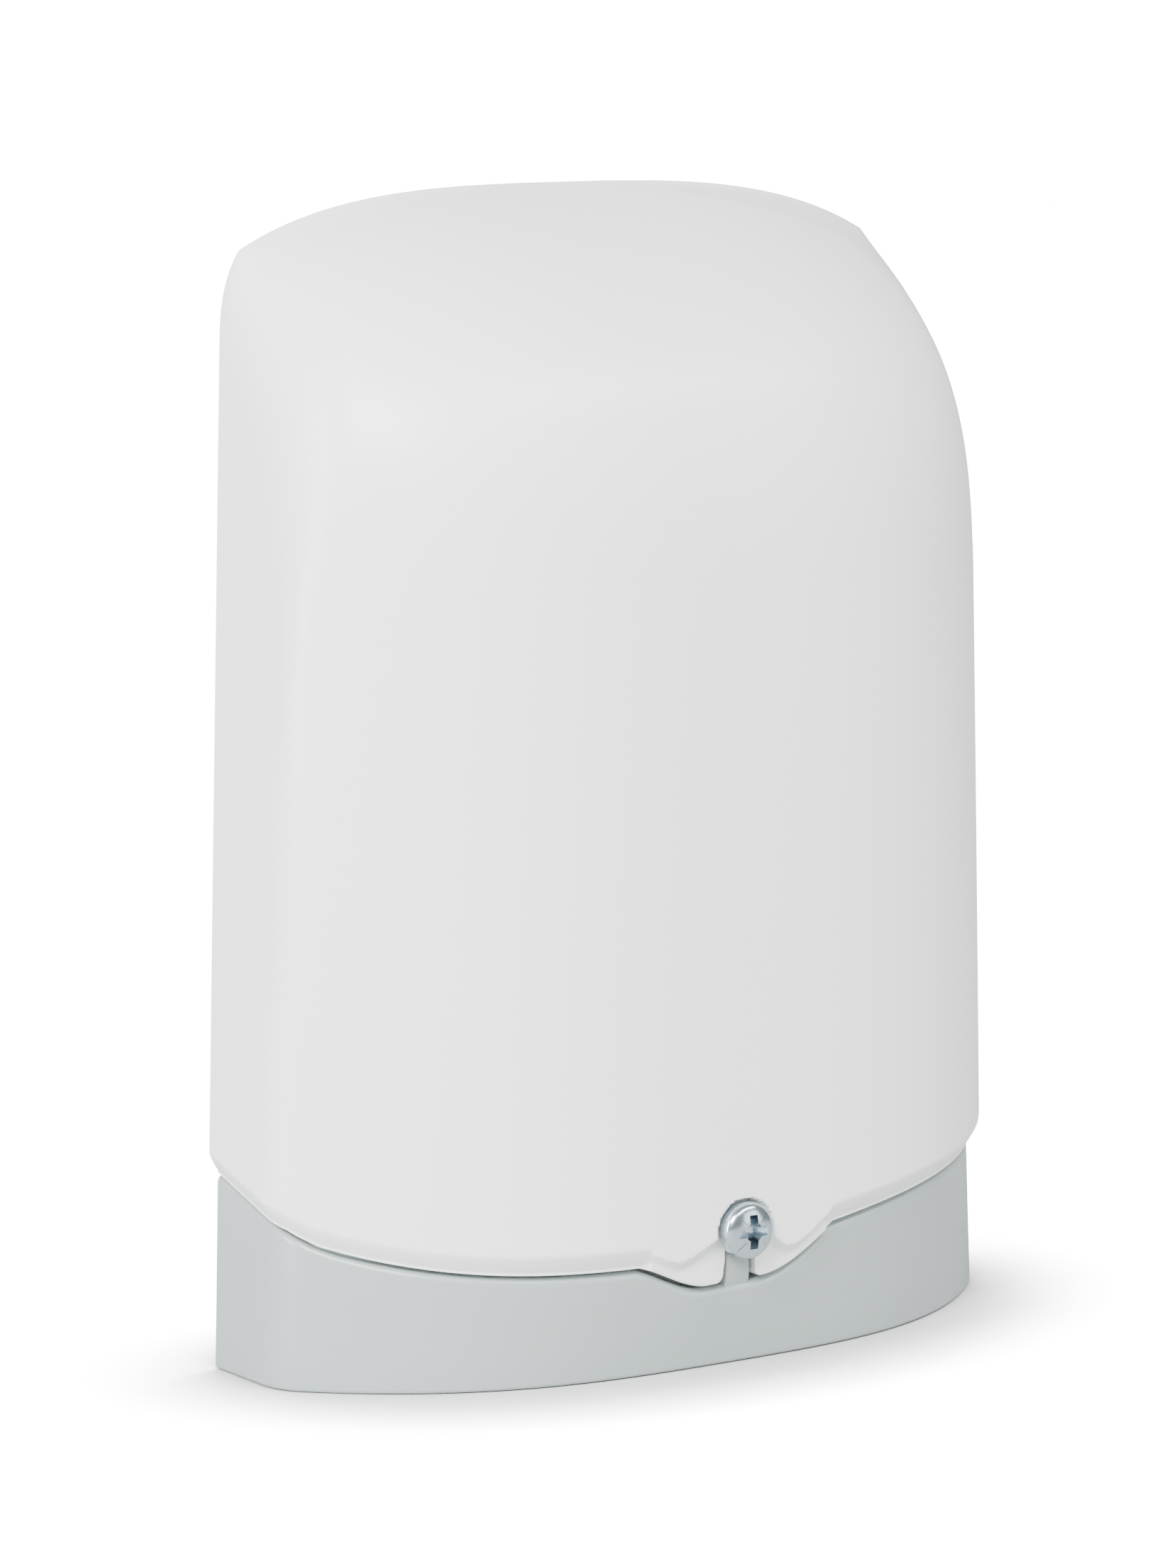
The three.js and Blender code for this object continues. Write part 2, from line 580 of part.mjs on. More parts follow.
function statusLed() {
  return frontTurned(20, 72, [
    [0, onBoard(0)], [1.9, onBoard(0)], [1.9, onBoard(1)], [1.5, onBoard(1)],
    [1.5, onBoard(3.4)], [1.1, onBoard(4.5)], [0, onBoard(4.9)],
  ], 14);
}

// ---------- radar module ----------
function radarBoard() {
  const { halfWidth, low, high, back, thickness } = RADAR;
  const holes = [[-halfWidth + 3.5, low + 3.5], [halfWidth - 3.5, low + 3.5]];
  const outline = polygon([[-halfWidth, low], [halfWidth, low], [halfWidth, high], [-halfWidth, high]]);
  const drills = holes.map(([x, z]) => frontRod(x, z, 1.5, back - 1, back + thickness + 1, 12));
  return cut(frontPrism(outline, back, back + thickness), ...drills);
}

function radarShield() {
  const can = block(-14, 14, RADAR.back - 6.2, RADAR.back - 0.2, RADAR.low + 7, RADAR.high - 5);
  return cut(can, block(-13.4, 13.4, RADAR.back - 5.7, RADAR.back + 1, RADAR.low + 7.6, RADAR.high - 5.6));
}

// Snap-in nylon spacer between the two boards.
function radarSpacer(x) {
  const z = RADAR.low + 3.5;
  return frontTurned(x, z, [
    [0, onBoard(0)], [2.6, onBoard(0)], [2.6, RADAR.back - 0.2], [1.2, RADAR.back - 0.2],
    [1.2, RADAR.back + RADAR.thickness + 0.3], [1.9, RADAR.back + RADAR.thickness + 0.4],
    [0.9, RADAR.back + RADAR.thickness + 2.2], [0, RADAR.back + RADAR.thickness + 2.2],
  ], 14);
}

function pinHeader() {
  const z = RADAR.high - 2.4;
  return block(-10.2, 10.2, onBoard(0), RADAR.back - 0.2, z - 1.25, z + 1.25);
}

// ---------- tamper switch ----------
function tamperBody() {
  const { x, z } = TAMPER;
  const body = block(x - 3.1, x + 3.1, onBoard(0), onBoard(4.4), z - 3.1, z + 3.1);
  return cut(body, frontRod(x, z, 1.4, onBoard(0.6), onBoard(6), 12));
}

// Plunger drawn on its own axis from its inner end: a stem with a wide cap for the spring.
function tamperPlunger() {
  const profile = [[0, 0], [1.1, 0], [1.1, 6.4], [2.4, 6.4], [2.4, 7.2], [1.6, 7.8], [0, 7.8]];
  return frontTurned(0, 0, profile, 14);
}

function tamperSpring() {
  const { x, z } = TAMPER;
  const turns = 4;
  const near = onBoard(4.75);
  const far = onBoard(8.15);
  const steps = 14 * turns;
  const points = [];
  for (let i = 0; i <= steps; i += 1) {
    const angle = 2 * Math.PI * turns * i / steps;
    const depth = near + (far - near) * i / steps;
    points.push(new THREE.Vector3(x + 1.85 * Math.cos(angle), -depth, z + 1.85 * Math.sin(angle)));
  }
  const wire = new THREE.Shape();
  wire.absarc(0, 0, 0.2, 0, Math.PI * 2, false);
  const extrudePath = new THREE.CatmullRomCurve3(points);
  return new THREE.ExtrudeGeometry(wire, { steps, extrudePath, curveSegments: 3, bevelEnabled: false });
}

// ---------- assembly ----------
const sensor = new THREE.Group();
sensor.position.z = -ORIGIN_HEIGHT;

function add(name, geometry, finish, position = [0, 0, 0]) {
  const mesh = new THREE.Mesh(geometry, finish);
  mesh.name = name;
  mesh.position.set(...position);
  sensor.add(mesh);
}

add('rear_housing', rearHousing(), housingPlastic);
add('cable_grommet', cableGrommet(), greyRubber);
add('front_cover', frontCover(), coverPlastic);

const washerSeat = -(LUG_FRONT + WASHER.thickness + GAP) + WASHER.thickness;
const headSeat = -(LUG_FRONT + WASHER.thickness + 2 * GAP);
add('screw_washer', screwWasher(), nylon, [0, washerSeat, SCREW_HEIGHT]);
add('cover_screw', coverScrew(), zincPlate, [0, headSeat, SCREW_HEIGHT]);

add('main_board', mainBoard(), boardLaminate);
BOARD_POSTS.forEach(([x, z], i) => add(`board_screw_${i + 1}`, boardScrew(x, z), zincPlate));

add('terminal_block', terminalBlock(), terminalPlastic);
for (let i = 0; i < TERMINAL_POLES; i += 1) {
  add(`terminal_screw_${i + 1}`, terminalScrew(poleX(i), TERMINAL.low + 4.4), zincPlate);
}

add('relay', relay(), bluePlastic);
add('transformer_core', transformerCore(), ferrite);
add('transformer_winding', transformerWinding(), copperWinding);
add('bulk_capacitor', canCapacitor(17, 56, 5, 15), canSleeve);
add('output_capacitor', canCapacitor(29, 66.8, 3.2, 11), canSleeve);
add('film_capacitor', filmCapacitor(), filmYellow);
add('fuse', fuse(), blackPlastic);
add('varistor', varistor(), ceramicBlue);
add('controller_chip', controllerChip(), blackPlastic);
add('status_led', statusLed(), redLens);

TRIMMER_X.forEach((x, i) => {
  add(`trimmer_body_${i + 1}`, trimmerBody(x), bluePlastic);
  add(`trimmer_knob_${i + 1}`, trimmerKnob(), nylon, [x, -onBoard(1.3), TRIMMER_Z]);
});

add('radar_board', radarBoard(), radarLaminate);
add('radar_shield', radarShield(), tinnedSteel);
add('radar_pin_header', pinHeader(), blackPlastic);
add('radar_spacer_1', radarSpacer(-RADAR.halfWidth + 3.5), nylon);
add('radar_spacer_2', radarSpacer(RADAR.halfWidth - 3.5), nylon);

add('tamper_switch', tamperBody(), blackPlastic);
add('tamper_plunger', tamperPlunger(), redLens, [TAMPER.x, -onBoard(2), TAMPER.z]);
add('tamper_spring', tamperSpring(), springSteel);

export default sensor;
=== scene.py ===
import bpy
import bmesh
import math
from mathutils import Matrix, Vector


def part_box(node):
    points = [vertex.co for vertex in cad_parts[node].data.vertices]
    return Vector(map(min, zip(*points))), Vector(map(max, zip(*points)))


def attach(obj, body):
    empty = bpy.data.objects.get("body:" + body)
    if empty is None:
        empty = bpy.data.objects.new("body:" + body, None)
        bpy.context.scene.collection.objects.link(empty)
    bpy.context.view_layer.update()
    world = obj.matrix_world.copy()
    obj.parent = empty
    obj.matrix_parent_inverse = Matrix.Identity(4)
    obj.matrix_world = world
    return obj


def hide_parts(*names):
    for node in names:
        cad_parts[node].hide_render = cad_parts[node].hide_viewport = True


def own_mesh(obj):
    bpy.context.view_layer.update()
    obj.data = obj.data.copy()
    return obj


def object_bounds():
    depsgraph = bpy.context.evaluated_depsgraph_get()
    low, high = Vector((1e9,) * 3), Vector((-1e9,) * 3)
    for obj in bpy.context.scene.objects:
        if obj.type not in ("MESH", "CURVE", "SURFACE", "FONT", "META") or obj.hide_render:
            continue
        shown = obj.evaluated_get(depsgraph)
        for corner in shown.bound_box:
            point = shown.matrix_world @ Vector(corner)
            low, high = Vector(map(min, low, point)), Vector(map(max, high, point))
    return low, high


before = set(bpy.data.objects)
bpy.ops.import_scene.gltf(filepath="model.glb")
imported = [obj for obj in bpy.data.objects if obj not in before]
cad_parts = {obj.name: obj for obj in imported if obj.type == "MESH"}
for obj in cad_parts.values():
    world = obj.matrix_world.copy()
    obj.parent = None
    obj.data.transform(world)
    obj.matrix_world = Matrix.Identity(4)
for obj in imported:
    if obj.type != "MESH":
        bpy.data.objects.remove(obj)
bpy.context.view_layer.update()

# ---------------------------------------------------------------------------
# Studio: a pale floor under the sensor, soft light from the upper left and the
# camera a little above and to the left of the front.
# ---------------------------------------------------------------------------
MM = 0.001


def linear(hex_code):
    channels = [int(hex_code[i:i + 2], 16) / 255 for i in (0, 2, 4)]
    return tuple(c / 12.92 if c <= 0.04045 else ((c + 0.055) / 1.055) ** 2.4 for c in channels) + (1,)


def new_material(name):
    material = bpy.data.materials.new(name)
    material.use_nodes = True
    material.node_tree.nodes.clear()
    return material


def add_node(material, kind, inputs=None, **settings):
    """Adds a node with its settings; an input is a value or another node's output."""
    tree = material.node_tree
    node = tree.nodes.new(kind)
    for key, value in settings.items():
        setattr(node, key, value)
    for key, value in (inputs or {}).items():
        if isinstance(value, bpy.types.NodeSocket):
            tree.links.new(value, node.inputs[key])
        else:
            node.inputs[key].default_value = value
    return node


def finish_surface(material, **inputs):
    names = {"colour": "Base Color", "rough": "Roughness", "metal": "Metallic", "bump": "Normal",
             "ior": "IOR", "coat": "Coat Weight", "coat_rough": "Coat Roughness",
             "scatter": "Subsurface Weight", "scatter_scale": "Subsurface Scale", "glow": "Emission Strength",
             "glow_colour": "Emission Color", "clear": "Transmission Weight"}
    shader = add_node(material, "ShaderNodeBsdfPrincipled", {names[key]: value for key, value in inputs.items()})
    add_node(material, "ShaderNodeOutputMaterial", {"Surface": shader.outputs["BSDF"]})
    return material


FLOOR_GLOW = 17.0


def pale_floor():
    """Matt painted board, almost white through a glow seen only by the camera, with a trace of roller texture; ambient
    occlusion dims that glow near the sensor as a painted contact shadow.
    """
    material = new_material("painted_board")
    place = add_node(material, "ShaderNodeTexCoord").outputs["Object"]
    roller = add_node(material, "ShaderNodeTexNoise", {"Vector": place, "Scale": 1 / (6 * MM), "Detail": 2.0})
    bump = add_node(material, "ShaderNodeBump", {"Height": roller.outputs["Fac"], "Strength": 0.05, "Distance": 0.1 * MM})
    seen = add_node(material, "ShaderNodeLightPath").outputs["Is Camera Ray"]
    # Painted shadow: the floor's camera-only glow falls off with ambient occlusion round the sensor.
    near = add_node(material, "ShaderNodeAmbientOcclusion", {"Distance": 22 * MM}).outputs["AO"]
    painted_shadow_falloff = add_node(material, "ShaderNodeMath", {0: near, 1: 6.0}, operation="POWER")
    glow_under_painted_shadow = add_node(material, "ShaderNodeMath", {0: painted_shadow_falloff.outputs[0], 1: FLOOR_GLOW}, operation="MULTIPLY")
    glow = add_node(material, "ShaderNodeMath", {0: seen, 1: glow_under_painted_shadow.outputs[0]}, operation="MULTIPLY")
    return finish_surface(material, colour=linear("c4c4c4"), rough=0.7, bump=bump.outputs["Normal"],
                          glow=glow.outputs[0], glow_colour=linear("fdfdfe"))


low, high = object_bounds()
centre = (low + high) / 2
bpy.ops.object.select_all(action="DESELECT")
bpy.ops.mesh.primitive_plane_add(size=8, location=(centre.x, centre.y, low.z - 0.1 * MM))
floor = bpy.context.object
floor.name = "studio_floor"
floor.data.materials.append(pale_floor())


def soft_box(name, place, aim, size, watts, tone):
    light = bpy.data.lights.new(name, "AREA")
    light.shape = "RECTANGLE"
    light.size, light.size_y = size
    light.energy = watts
    light.color = linear(tone)[:3]
    lamp = bpy.data.objects.new(name, light)
    lamp.location = place
    lamp.rotation_euler = (Vector(aim) - Vector(place)).to_track_quat("-Z", "Y").to_euler()
    bpy.context.scene.collection.objects.link(lamp)


soft_box("key_light", (-0.95, -0.75, 0.85), centre, (0.5, 0.5), 42.0, "fffefc")
soft_box("front_fill", (0.75, -1.3, 0.35), centre, (0.9, 0.9), 9.0, "fbfdff")
soft_box("roof_strip", (0.25, -0.85, 1.05), centre, (1.6, 0.1), 24.0, "fffffe")
soft_box("side_strip", (-1.1, -0.06, 0.12), centre, (0.05, 1.1), 26.0, "fdfeff")

world = bpy.data.worlds.new("studio_surround")
world.use_nodes = True
surround = world.node_tree.nodes["Background"]
surround.inputs["Color"].default_value = linear("fcfdfe")
ray = world.node_tree.nodes.new("ShaderNodeLightPath")
power = world.node_tree.nodes.new("ShaderNodeMapRange")
power.inputs["To Min"].default_value = 0.5
power.inputs["To Max"].default_value = 18.0
world.node_tree.links.new(ray.outputs["Is Camera Ray"], power.inputs["Value"])
world.node_tree.links.new(power.outputs["Result"], surround.inputs["Strength"])
bpy.context.scene.world = world

camera = bpy.data.cameras.new("camera")
camera.lens = 125.88
camera.sensor_width = 36
camera.clip_start = 0.01
viewer = bpy.data.objects.new("camera", camera)
right = Vector((0.84162, -0.53985, -0.01559))
up = Vector((0.08325, 0.10114, 0.99138))
turn = Matrix((right, up, right.cross(up))).transposed()
viewer.matrix_world = Matrix.Translation((-0.361338, -0.570519, 0.085398)) @ turn.to_4x4()
bpy.context.scene.collection.objects.link(viewer)
bpy.context.scene.camera = viewer

# ---------------------------------------------------------------------------
# Rear housing: grey ABS moulding screwed to the wall. Its chin closes the lower
# end with a rolled ledge under the cover, and its plate carries the boards.
# ---------------------------------------------------------------------------
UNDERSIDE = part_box("rear_housing")[0].z
COVER_LOW, COVER_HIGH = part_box("front_cover")
COVER_TOP = (COVER_HIGH.z - UNDERSIDE) / MM + 0.3
TOP_ARCH = 4.6
CORNER_WIDTH, CORNER_HEIGHT, CORNER_POWER = 9.97, 13.24, 2.5
WALL = 2.4
BOW_AT = 50.0
SIDE_DRAFT = 0.007
LUG_SIDE = 14.0
SCREW_AXIS = 17.0
CHIN = {"half_width": 51.57, "depth": 34.4, "bow": 18.6, "edge": 3.3}
CHIN_TOP = {"half_width": 50.61, "depth": 36.6, "bow": 21.3, "edge": 3.3}
UPSTAND = {"half_width": 48.2, "depth": 33.2, "bow": 18.8, "edge": 2.0}
PLATE = 2.6
SEAM_GAP = 0.45
LEDGE_RADIUS = 1.1
FOOT_RADIUS = 0.5


def moulded(name, tone, rough, grain, grain_depth, shade=0.02, ior=1.53):
    """An injection-moulded plastic. grain is the grain's size in mm, and shade the colour drift over the part."""
    material = new_material(name)
    place = add_node(material, "ShaderNodeTexCoord").outputs["Object"]
    drift = add_node(material, "ShaderNodeTexNoise", {"Vector": place, "Scale": 1 / (30 * MM), "Detail": 3.0})
    base = linear(tone)
    dark = tuple(c * (1 - shade) for c in base[:3]) + (1,)
    colour = add_node(material, "ShaderNodeMix", {0: drift.outputs["Fac"], 6: dark, 7: base}, data_type="RGBA")
    pits = add_node(material, "ShaderNodeTexNoise",
                    {"Vector": place, "Scale": 1 / (grain * MM), "Detail": 4.0, "Roughness": 0.6})
    gloss = add_node(material, "ShaderNodeMapRange",
                     {"Value": pits.outputs["Fac"], "To Min": rough - 0.04, "To Max": rough + 0.05})
    bump = add_node(material, "ShaderNodeBump",
                    {"Height": pits.outputs["Fac"], "Strength": 1.0, "Distance": grain_depth * MM})
    return finish_surface(material, colour=colour.outputs[2], rough=gloss.outputs["Result"],
                          bump=bump.outputs["Normal"], ior=ior)


def place(x, depth, height):
    return (x * MM, -depth * MM, UNDERSIDE + height * MM)


def mesh_object(name, vertices, faces):
    """A new piece from points in millimetres: x, depth from the wall, height above the underside."""
    mesh = bpy.data.meshes.new(name)
    mesh.from_pydata([place(*v) for v in vertices], [], faces)
    mesh.update()
    piece = bpy.data.objects.new(name, mesh)
    bpy.context.scene.collection.objects.link(piece)
    return piece


def pick(piece):
    bpy.ops.object.select_all(action="DESELECT")
    piece.select_set(True)
    bpy.context.view_layer.objects.active = piece


def smooth(piece, angle=32):
    pick(piece)
    bpy.ops.object.shade_smooth_by_angle(angle=math.radians(angle))


def carve(piece, tool, operation="DIFFERENCE"):
    pick(piece)
    modifier = piece.modifiers.new("carve", "BOOLEAN")
    modifier.operation = operation
    modifier.solver = "EXACT"
    modifier.object = tool
    bpy.ops.object.modifier_apply(modifier=modifier.name)
    bpy.data.objects.remove(tool)


def soften(piece, width, segments=2, angle=35):
    pick(piece)
    modifier = piece.modifiers.new("edge", "BEVEL")
    modifier.width = width * MM
    modifier.segments = segments
    modifier.limit_method = "ANGLE"
    modifier.angle_limit = math.radians(angle)
    modifier.harden_normals = False
    bpy.ops.object.modifier_apply(modifier=modifier.name)
    smooth(piece)


def settle(piece, material, body, slot, *nodes):
    piece.data.materials.clear()
    piece.data.materials.append(material)
    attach(piece, body)
    if nodes:
        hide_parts(*nodes)


def ease(t):
    t = min(max(t, 0.0), 1.0)
    return t * t * (3 - 2 * t)


def mix(a, b, t):
    return a + (b - a) * t


def cubic(a, b, c, d, t):
    return a * (1 - t) ** 3 + 3 * b * t * (1 - t) ** 2 + 3 * c * t * t * (1 - t) + d * t ** 3


def seam(x, depth):
    """Lower edge of the cover's lip: low in the middle, higher at the corners and towards the wall."""
    out = min(abs(x) / BOW_AT, 1)
    front = 13.8 + 4.9 * out ** 4.5 if x < 0 else 18.95 - 5.15 * (1 - out) ** 1.7
    return front + 0.31 * max(0, 18 - depth)


def edge_height(x, depth):
    """The seam with the clamping lug that hangs below it in the middle."""
    if abs(x) >= LUG_SIDE:
        return seam(x, depth)
    if x < -4.8:
        return cubic(seam(-LUG_SIDE, 38), 12.9, 10.6, 10.5, (x + LUG_SIDE) / 9.2)
    if x > 3.6:
        return cubic(10.8, 11.2, 13.6, seam(LUG_SIDE, 38), (x - 3.6) / 10.4)
    return 10.5 + 0.3 * (x + 4.8) / 8.4


def plan_section(half_width, depth, bow, edge, back, front_steps, fillet=8, side=6):
    """Half of the D-shaped plan section, from the middle of the front round to the wall."""
    def fall(x):
        return bow * (x / BOW_AT) ** 3
    corner_depth = max(depth - fall(half_width), back + 0.15)
    corner_x = half_width - SIDE_DRAFT * corner_depth
    if depth - fall(corner_x) < corner_depth:
        corner_x = BOW_AT * (max(depth - corner_depth, 0.02) / bow) ** (1 / 3)
    else:
        corner_depth = depth - fall(corner_x)
    back_x = min(half_width, corner_x + SIDE_DRAFT * corner_depth)
    side_run = min(edge, 0.9 * (corner_depth - back))
    slope = math.atan(bow * 3 / BOW_AT * (corner_x / BOW_AT) ** 2)
    front_x = corner_x - min(edge * math.cos(slope), 0.6 * corner_x)
    half = [(t * front_x, depth - fall(t * front_x)) for t in front_steps]
    start = (front_x, depth - fall(front_x))
    end = (corner_x + (back_x - corner_x) * side_run / (corner_depth - back), corner_depth - side_run)
    for i in range(fillet + 1):
        t = i / fillet
        half.append(tuple((1 - t) ** 2 * start[k] + 2 * t * (1 - t) * (corner_x, corner_depth)[k] + t * t * end[k]
                          for k in (0, 1)))
    half += [(mix(end[0], back_x, i / side), mix(end[1], back, i / side)) for i in range(1, side + 1)]
    return half


def whole(half):
    return [(-x, d) for x, d in reversed(half[1:])] + half


def offset_section(section, inset, back, steps):
    shape = dict(section, half_width=section["half_width"] - inset, depth=section["depth"] - inset)
    return whole(plan_section(back=back, front_steps=steps, **shape))


def lofted(name, rings):
    """A closed body through rings of equal length."""
    count = len(rings[0])
    vertices = [p for ring in rings for p in ring]
    faces = []
    for r in range(len(rings) - 1):
        for i in range(count):
            a, b = r * count + i, r * count + (i + 1) % count
            faces.append((a, b, b + count, a + count))
    for start, top in ((0, False), ((len(rings) - 1) * count, True)):
        ring = vertices[start:start + count]
        vertices.append(tuple(sum(p[k] for p in ring) / count for k in range(3)))
        middle = len(vertices) - 1
        for i in range(count):
            a, b = start + i, start + (i + 1) % count
            faces.append((a, b, middle) if top else (b, a, middle))
    return mesh_object(name, vertices, faces)


def bar(name, x0, x1, near, far, z0, z1):
    vertices = [(x, d, z) for z in (z0, z1) for x, d in ((x0, near), (x0, far), (x1, far), (x1, near))]
    faces = [(0, 3, 2, 1), (4, 5, 6, 7), (0, 1, 5, 4), (1, 2, 6, 5), (2, 3, 7, 6), (3, 0, 4, 7)]
    return mesh_object(name, vertices, faces)


def slab(name, outline, near, far):
    """A front-view outline, anticlockwise seen from the front, pushed from one depth to another."""
    count = len(outline)
    vertices = [(x, near, z) for x, z in outline] + [(x, far, z) for x, z in outline]
    faces = [tuple(reversed(range(count))), tuple(range(count, 2 * count))]
    faces += [(i, (i + 1) % count, count + (i + 1) % count, count + i) for i in range(count)]
    return mesh_object(name, vertices, faces)


def round_outline(x, z, radius, steps=48, half_length=0.0):
    points = []
    for i in range(steps):
        angle = 2 * math.pi * (i + 0.5) / steps
        shift = half_length if math.cos(angle) > 0 else -half_length
        points.append((x + shift + radius * math.cos(angle), z + radius * math.sin(angle)))
    return points


def spread(limit, fine, coarse, total):
    """Shares of the front's half-width: steps of fine up to limit, and of coarse beyond it, in mm."""
    steps = [i * fine / total for i in range(int(limit / fine))]
    rest = total - limit
    count = round(rest / coarse)
    return steps + [(limit + rest * i / count) / total for i in range(count)]


housing_steps = spread(15, 0.5, 2.0, 48)
rings = []
for i in range(4):
    angle = math.radians(30 * i)
    inset, height = FOOT_RADIUS * (1 - math.sin(angle)), FOOT_RADIUS * (1 - math.cos(angle))
    section = offset_section(CHIN, inset, 0, housing_steps)
    rings.append([(x, d, height) for x, d in section])
for i in range(1, 14):
    rise = min(i / 4, 1)
    angle = math.radians(max(0, i - 4) * 10)
    inset = LEDGE_RADIUS * (1 - math.cos(angle))
    base = offset_section(CHIN, inset, 0, housing_steps)
    lean = offset_section(CHIN_TOP, inset, 0, housing_steps)
    ring = []
    for (x0, d0), (x1, d1) in zip(base, lean):
        top = edge_height(x1, d1) - SEAM_GAP - LEDGE_RADIUS
        height = FOOT_RADIUS + (top - FOOT_RADIUS) * rise + LEDGE_RADIUS * math.sin(angle)
        share = min(height / (top + LEDGE_RADIUS), 1)
        ring.append((mix(x0, x1, share), mix(d0, d1, share), height))
    rings.append(ring)
rings.append([(x, d, z) for (x, d), (_, _, z) in zip(offset_section(CHIN_TOP, 6, 0, housing_steps), rings[-1])])
housing = lofted("rear_housing_moulding", rings)


def walls(name, section, foot, top, back):
    ring = offset_section(section, 0, back, housing_steps)
    return lofted(name, [[(x, d, z(x, d)) for x, d in ring] for z in (foot, top)])


upstand = walls("upstand", UPSTAND, lambda x, d: 3, lambda x, d: seam(x, d) + 5, 0.4)
carve(housing, upstand, "UNION")

def outline_height(x, side_x, wall):
    a = min(max((x - (side_x - CORNER_WIDTH)) / CORNER_WIDTH, 0), 1)
    corner = 1 - (1 - a ** CORNER_POWER) ** (1 / CORNER_POWER)
    return COVER_TOP - wall - TOP_ARCH * (x / side_x) ** 2 - CORNER_HEIGHT * corner


def cover_half_width(z, wall):
    side_x = BOW_AT - 0.042 * (z - 75) - wall
    if outline_height(side_x, side_x, wall) >= z:
        return side_x
    inner, outer = 0.0, side_x
    for _ in range(40):
        middle = (inner + outer) / 2
        if outline_height(middle, side_x, wall) >= z:
            inner = middle
        else:
            outer = middle
    return inner


PLATE_TOP = 136.4
for inset, narrowest, near, far, foot in ((5.8, 45.2, 0.02, PLATE, 1), (2.9, 48.2, PLATE - 0.03, PLATE + 2, 34)):
    def wall_x(z):
        return min(BOW_AT - 0.042 * (z - 75) - inset, narrowest, cover_half_width(z, WALL + 2.0))
    heights = [foot, 75 + (BOW_AT - inset - narrowest) / 0.042] + [mix(124, PLATE_TOP, i / 16) for i in range(17)]
    right = [(wall_x(z), z) for z in heights]
    outline = right + [(-x, z) for x, z in reversed(right)]
    carve(housing, slab("plate", outline, near, far), "UNION")

room = dict(CHIN, half_width=48.01, depth=31.8, edge=1.4)
neck = dict(UPSTAND, half_width=46.1, depth=31.1, edge=1.2)
carve(housing, walls("room", room, lambda x, d: 2.6, lambda x, d: seam(x, d) - 3.4, PLATE + 0.02))
carve(housing, walls("neck", neck, lambda x, d: 3.0, lambda x, d: seam(x, d) + 9, PLATE + 0.04))

BOARD_POSTS = [(x, z) for x in (-34.5, 34.5) for z in (38, 119)]
WALL_HOLES = [(-27, 29.5, 2.4), (27, 29.5, 2.4), (0, 129, 0)]
ENTRY = (-14, 15.5, 7)
for x, z in BOARD_POSTS:
    carve(housing, slab("post", round_outline(x, z, 3.2), PLATE - 0.5, 9.9), "UNION")
carve(housing, slab("boss", round_outline(0, SCREW_AXIS, 4), 24, 33.25), "UNION")
carve(housing, bar("boss_rib", -1.13, 1.13, 26.1, 32.3, 4.07, SCREW_AXIS - 2.2), "UNION")
key_rings = []
for inset, front, height in ((0, 35.4, 8.63), (0, 36.2, 9.9), (0, 36.5, 10.6), (0, 36.62, 11.5), (0, 36.62, 14.2),
                             (0.1, 36.5, 14.45), (0.35, 36.2, 14.6)):
    half = 1.75 - inset
    side = [(half, 30.03), (half, front - 0.35), (half - 0.1, front - 0.1), (half - 0.35, front)]
    key_rings.append([(-a, d, height) for a, d in side] + [(a, d, height) for a, d in reversed(side)])
carve(housing, lofted("slot_key", key_rings), "UNION")
for x, z, half_length in WALL_HOLES:
    carve(housing, slab("wall_hole", round_outline(x, z, 2.4, half_length=half_length), -1, PLATE + 3))
carve(housing, slab("entry", round_outline(*ENTRY, steps=72), -1, PLATE + 1))
for x, z in BOARD_POSTS:
    carve(housing, slab("pilot", round_outline(x, z, 1.5, 24), PLATE + 1.4, 12))
carve(housing, slab("screw_pilot", round_outline(0, SCREW_AXIS, 1.9, 32), 22, 40))
smooth(housing)
# ABS leaves the polished tool with an even satin, so the light rolls softly over its ledge.
abs_grey = moulded("satin_moulded_abs", "98a2a2", 0.3, 0.5, 0.0012, shade=0.03)
settle(housing, abs_grey, "housing", "housing_grey", "rear_housing")

# ---------------------------------------------------------------------------
# Cable grommet: grey rubber ring pressed into the rear entry. Its thin stepped
# cone is cut to the cable and seals round it.
# ---------------------------------------------------------------------------
def extent(node):
    """A node's box in millimetres: x from and to, depth from and to, height from and to."""
    a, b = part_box(node)
    return (a.x / MM, b.x / MM, -b.y / MM, -a.y / MM, (a.z - UNDERSIDE) / MM, (b.z - UNDERSIDE) / MM)


def middle(node):
    x0, x1, near, far, z0, z1 = extent(node)
    return (x0 + x1) / 2, (near + far) / 2, (z0 + z1) / 2


def turned(name, x, z, profile, steps=64, closed=False, upright=False, depth=0.0):
    """Spins a profile of (radius, distance along the axis) about an axis that faces the front, or stands upright."""
    mesh = bpy.data.meshes.new(name)
    count = len(profile)
    links = [(i, i + 1) for i in range(count - 1)] + ([(count - 1, 0)] if closed else [])
    if upright:
        points = [place(x + r, depth, z + along) for r, along in profile]
        centre, axis = place(x, depth, z), (0, 0, 1)
    else:
        points = [place(x + r, along, z) for r, along in profile]
        centre, axis = place(x, 0, z), (0, 1, 0)
    mesh.from_pydata(points, links, [])
    piece = bpy.data.objects.new(name, mesh)
    bpy.context.scene.collection.objects.link(piece)
    pick(piece)
    bpy.ops.object.mode_set(mode="EDIT")
    bpy.ops.mesh.select_all(action="SELECT")
    bpy.ops.mesh.spin(steps=steps, angle=2 * math.pi, center=centre, axis=axis)
    bpy.ops.mesh.select_all(action="SELECT")
    bpy.ops.mesh.remove_doubles(threshold=0.002 * MM)
    bpy.ops.mesh.normals_make_consistent(inside=False)
    bpy.ops.object.mode_set(mode="OBJECT")
    smooth(piece, 40)
    return piece


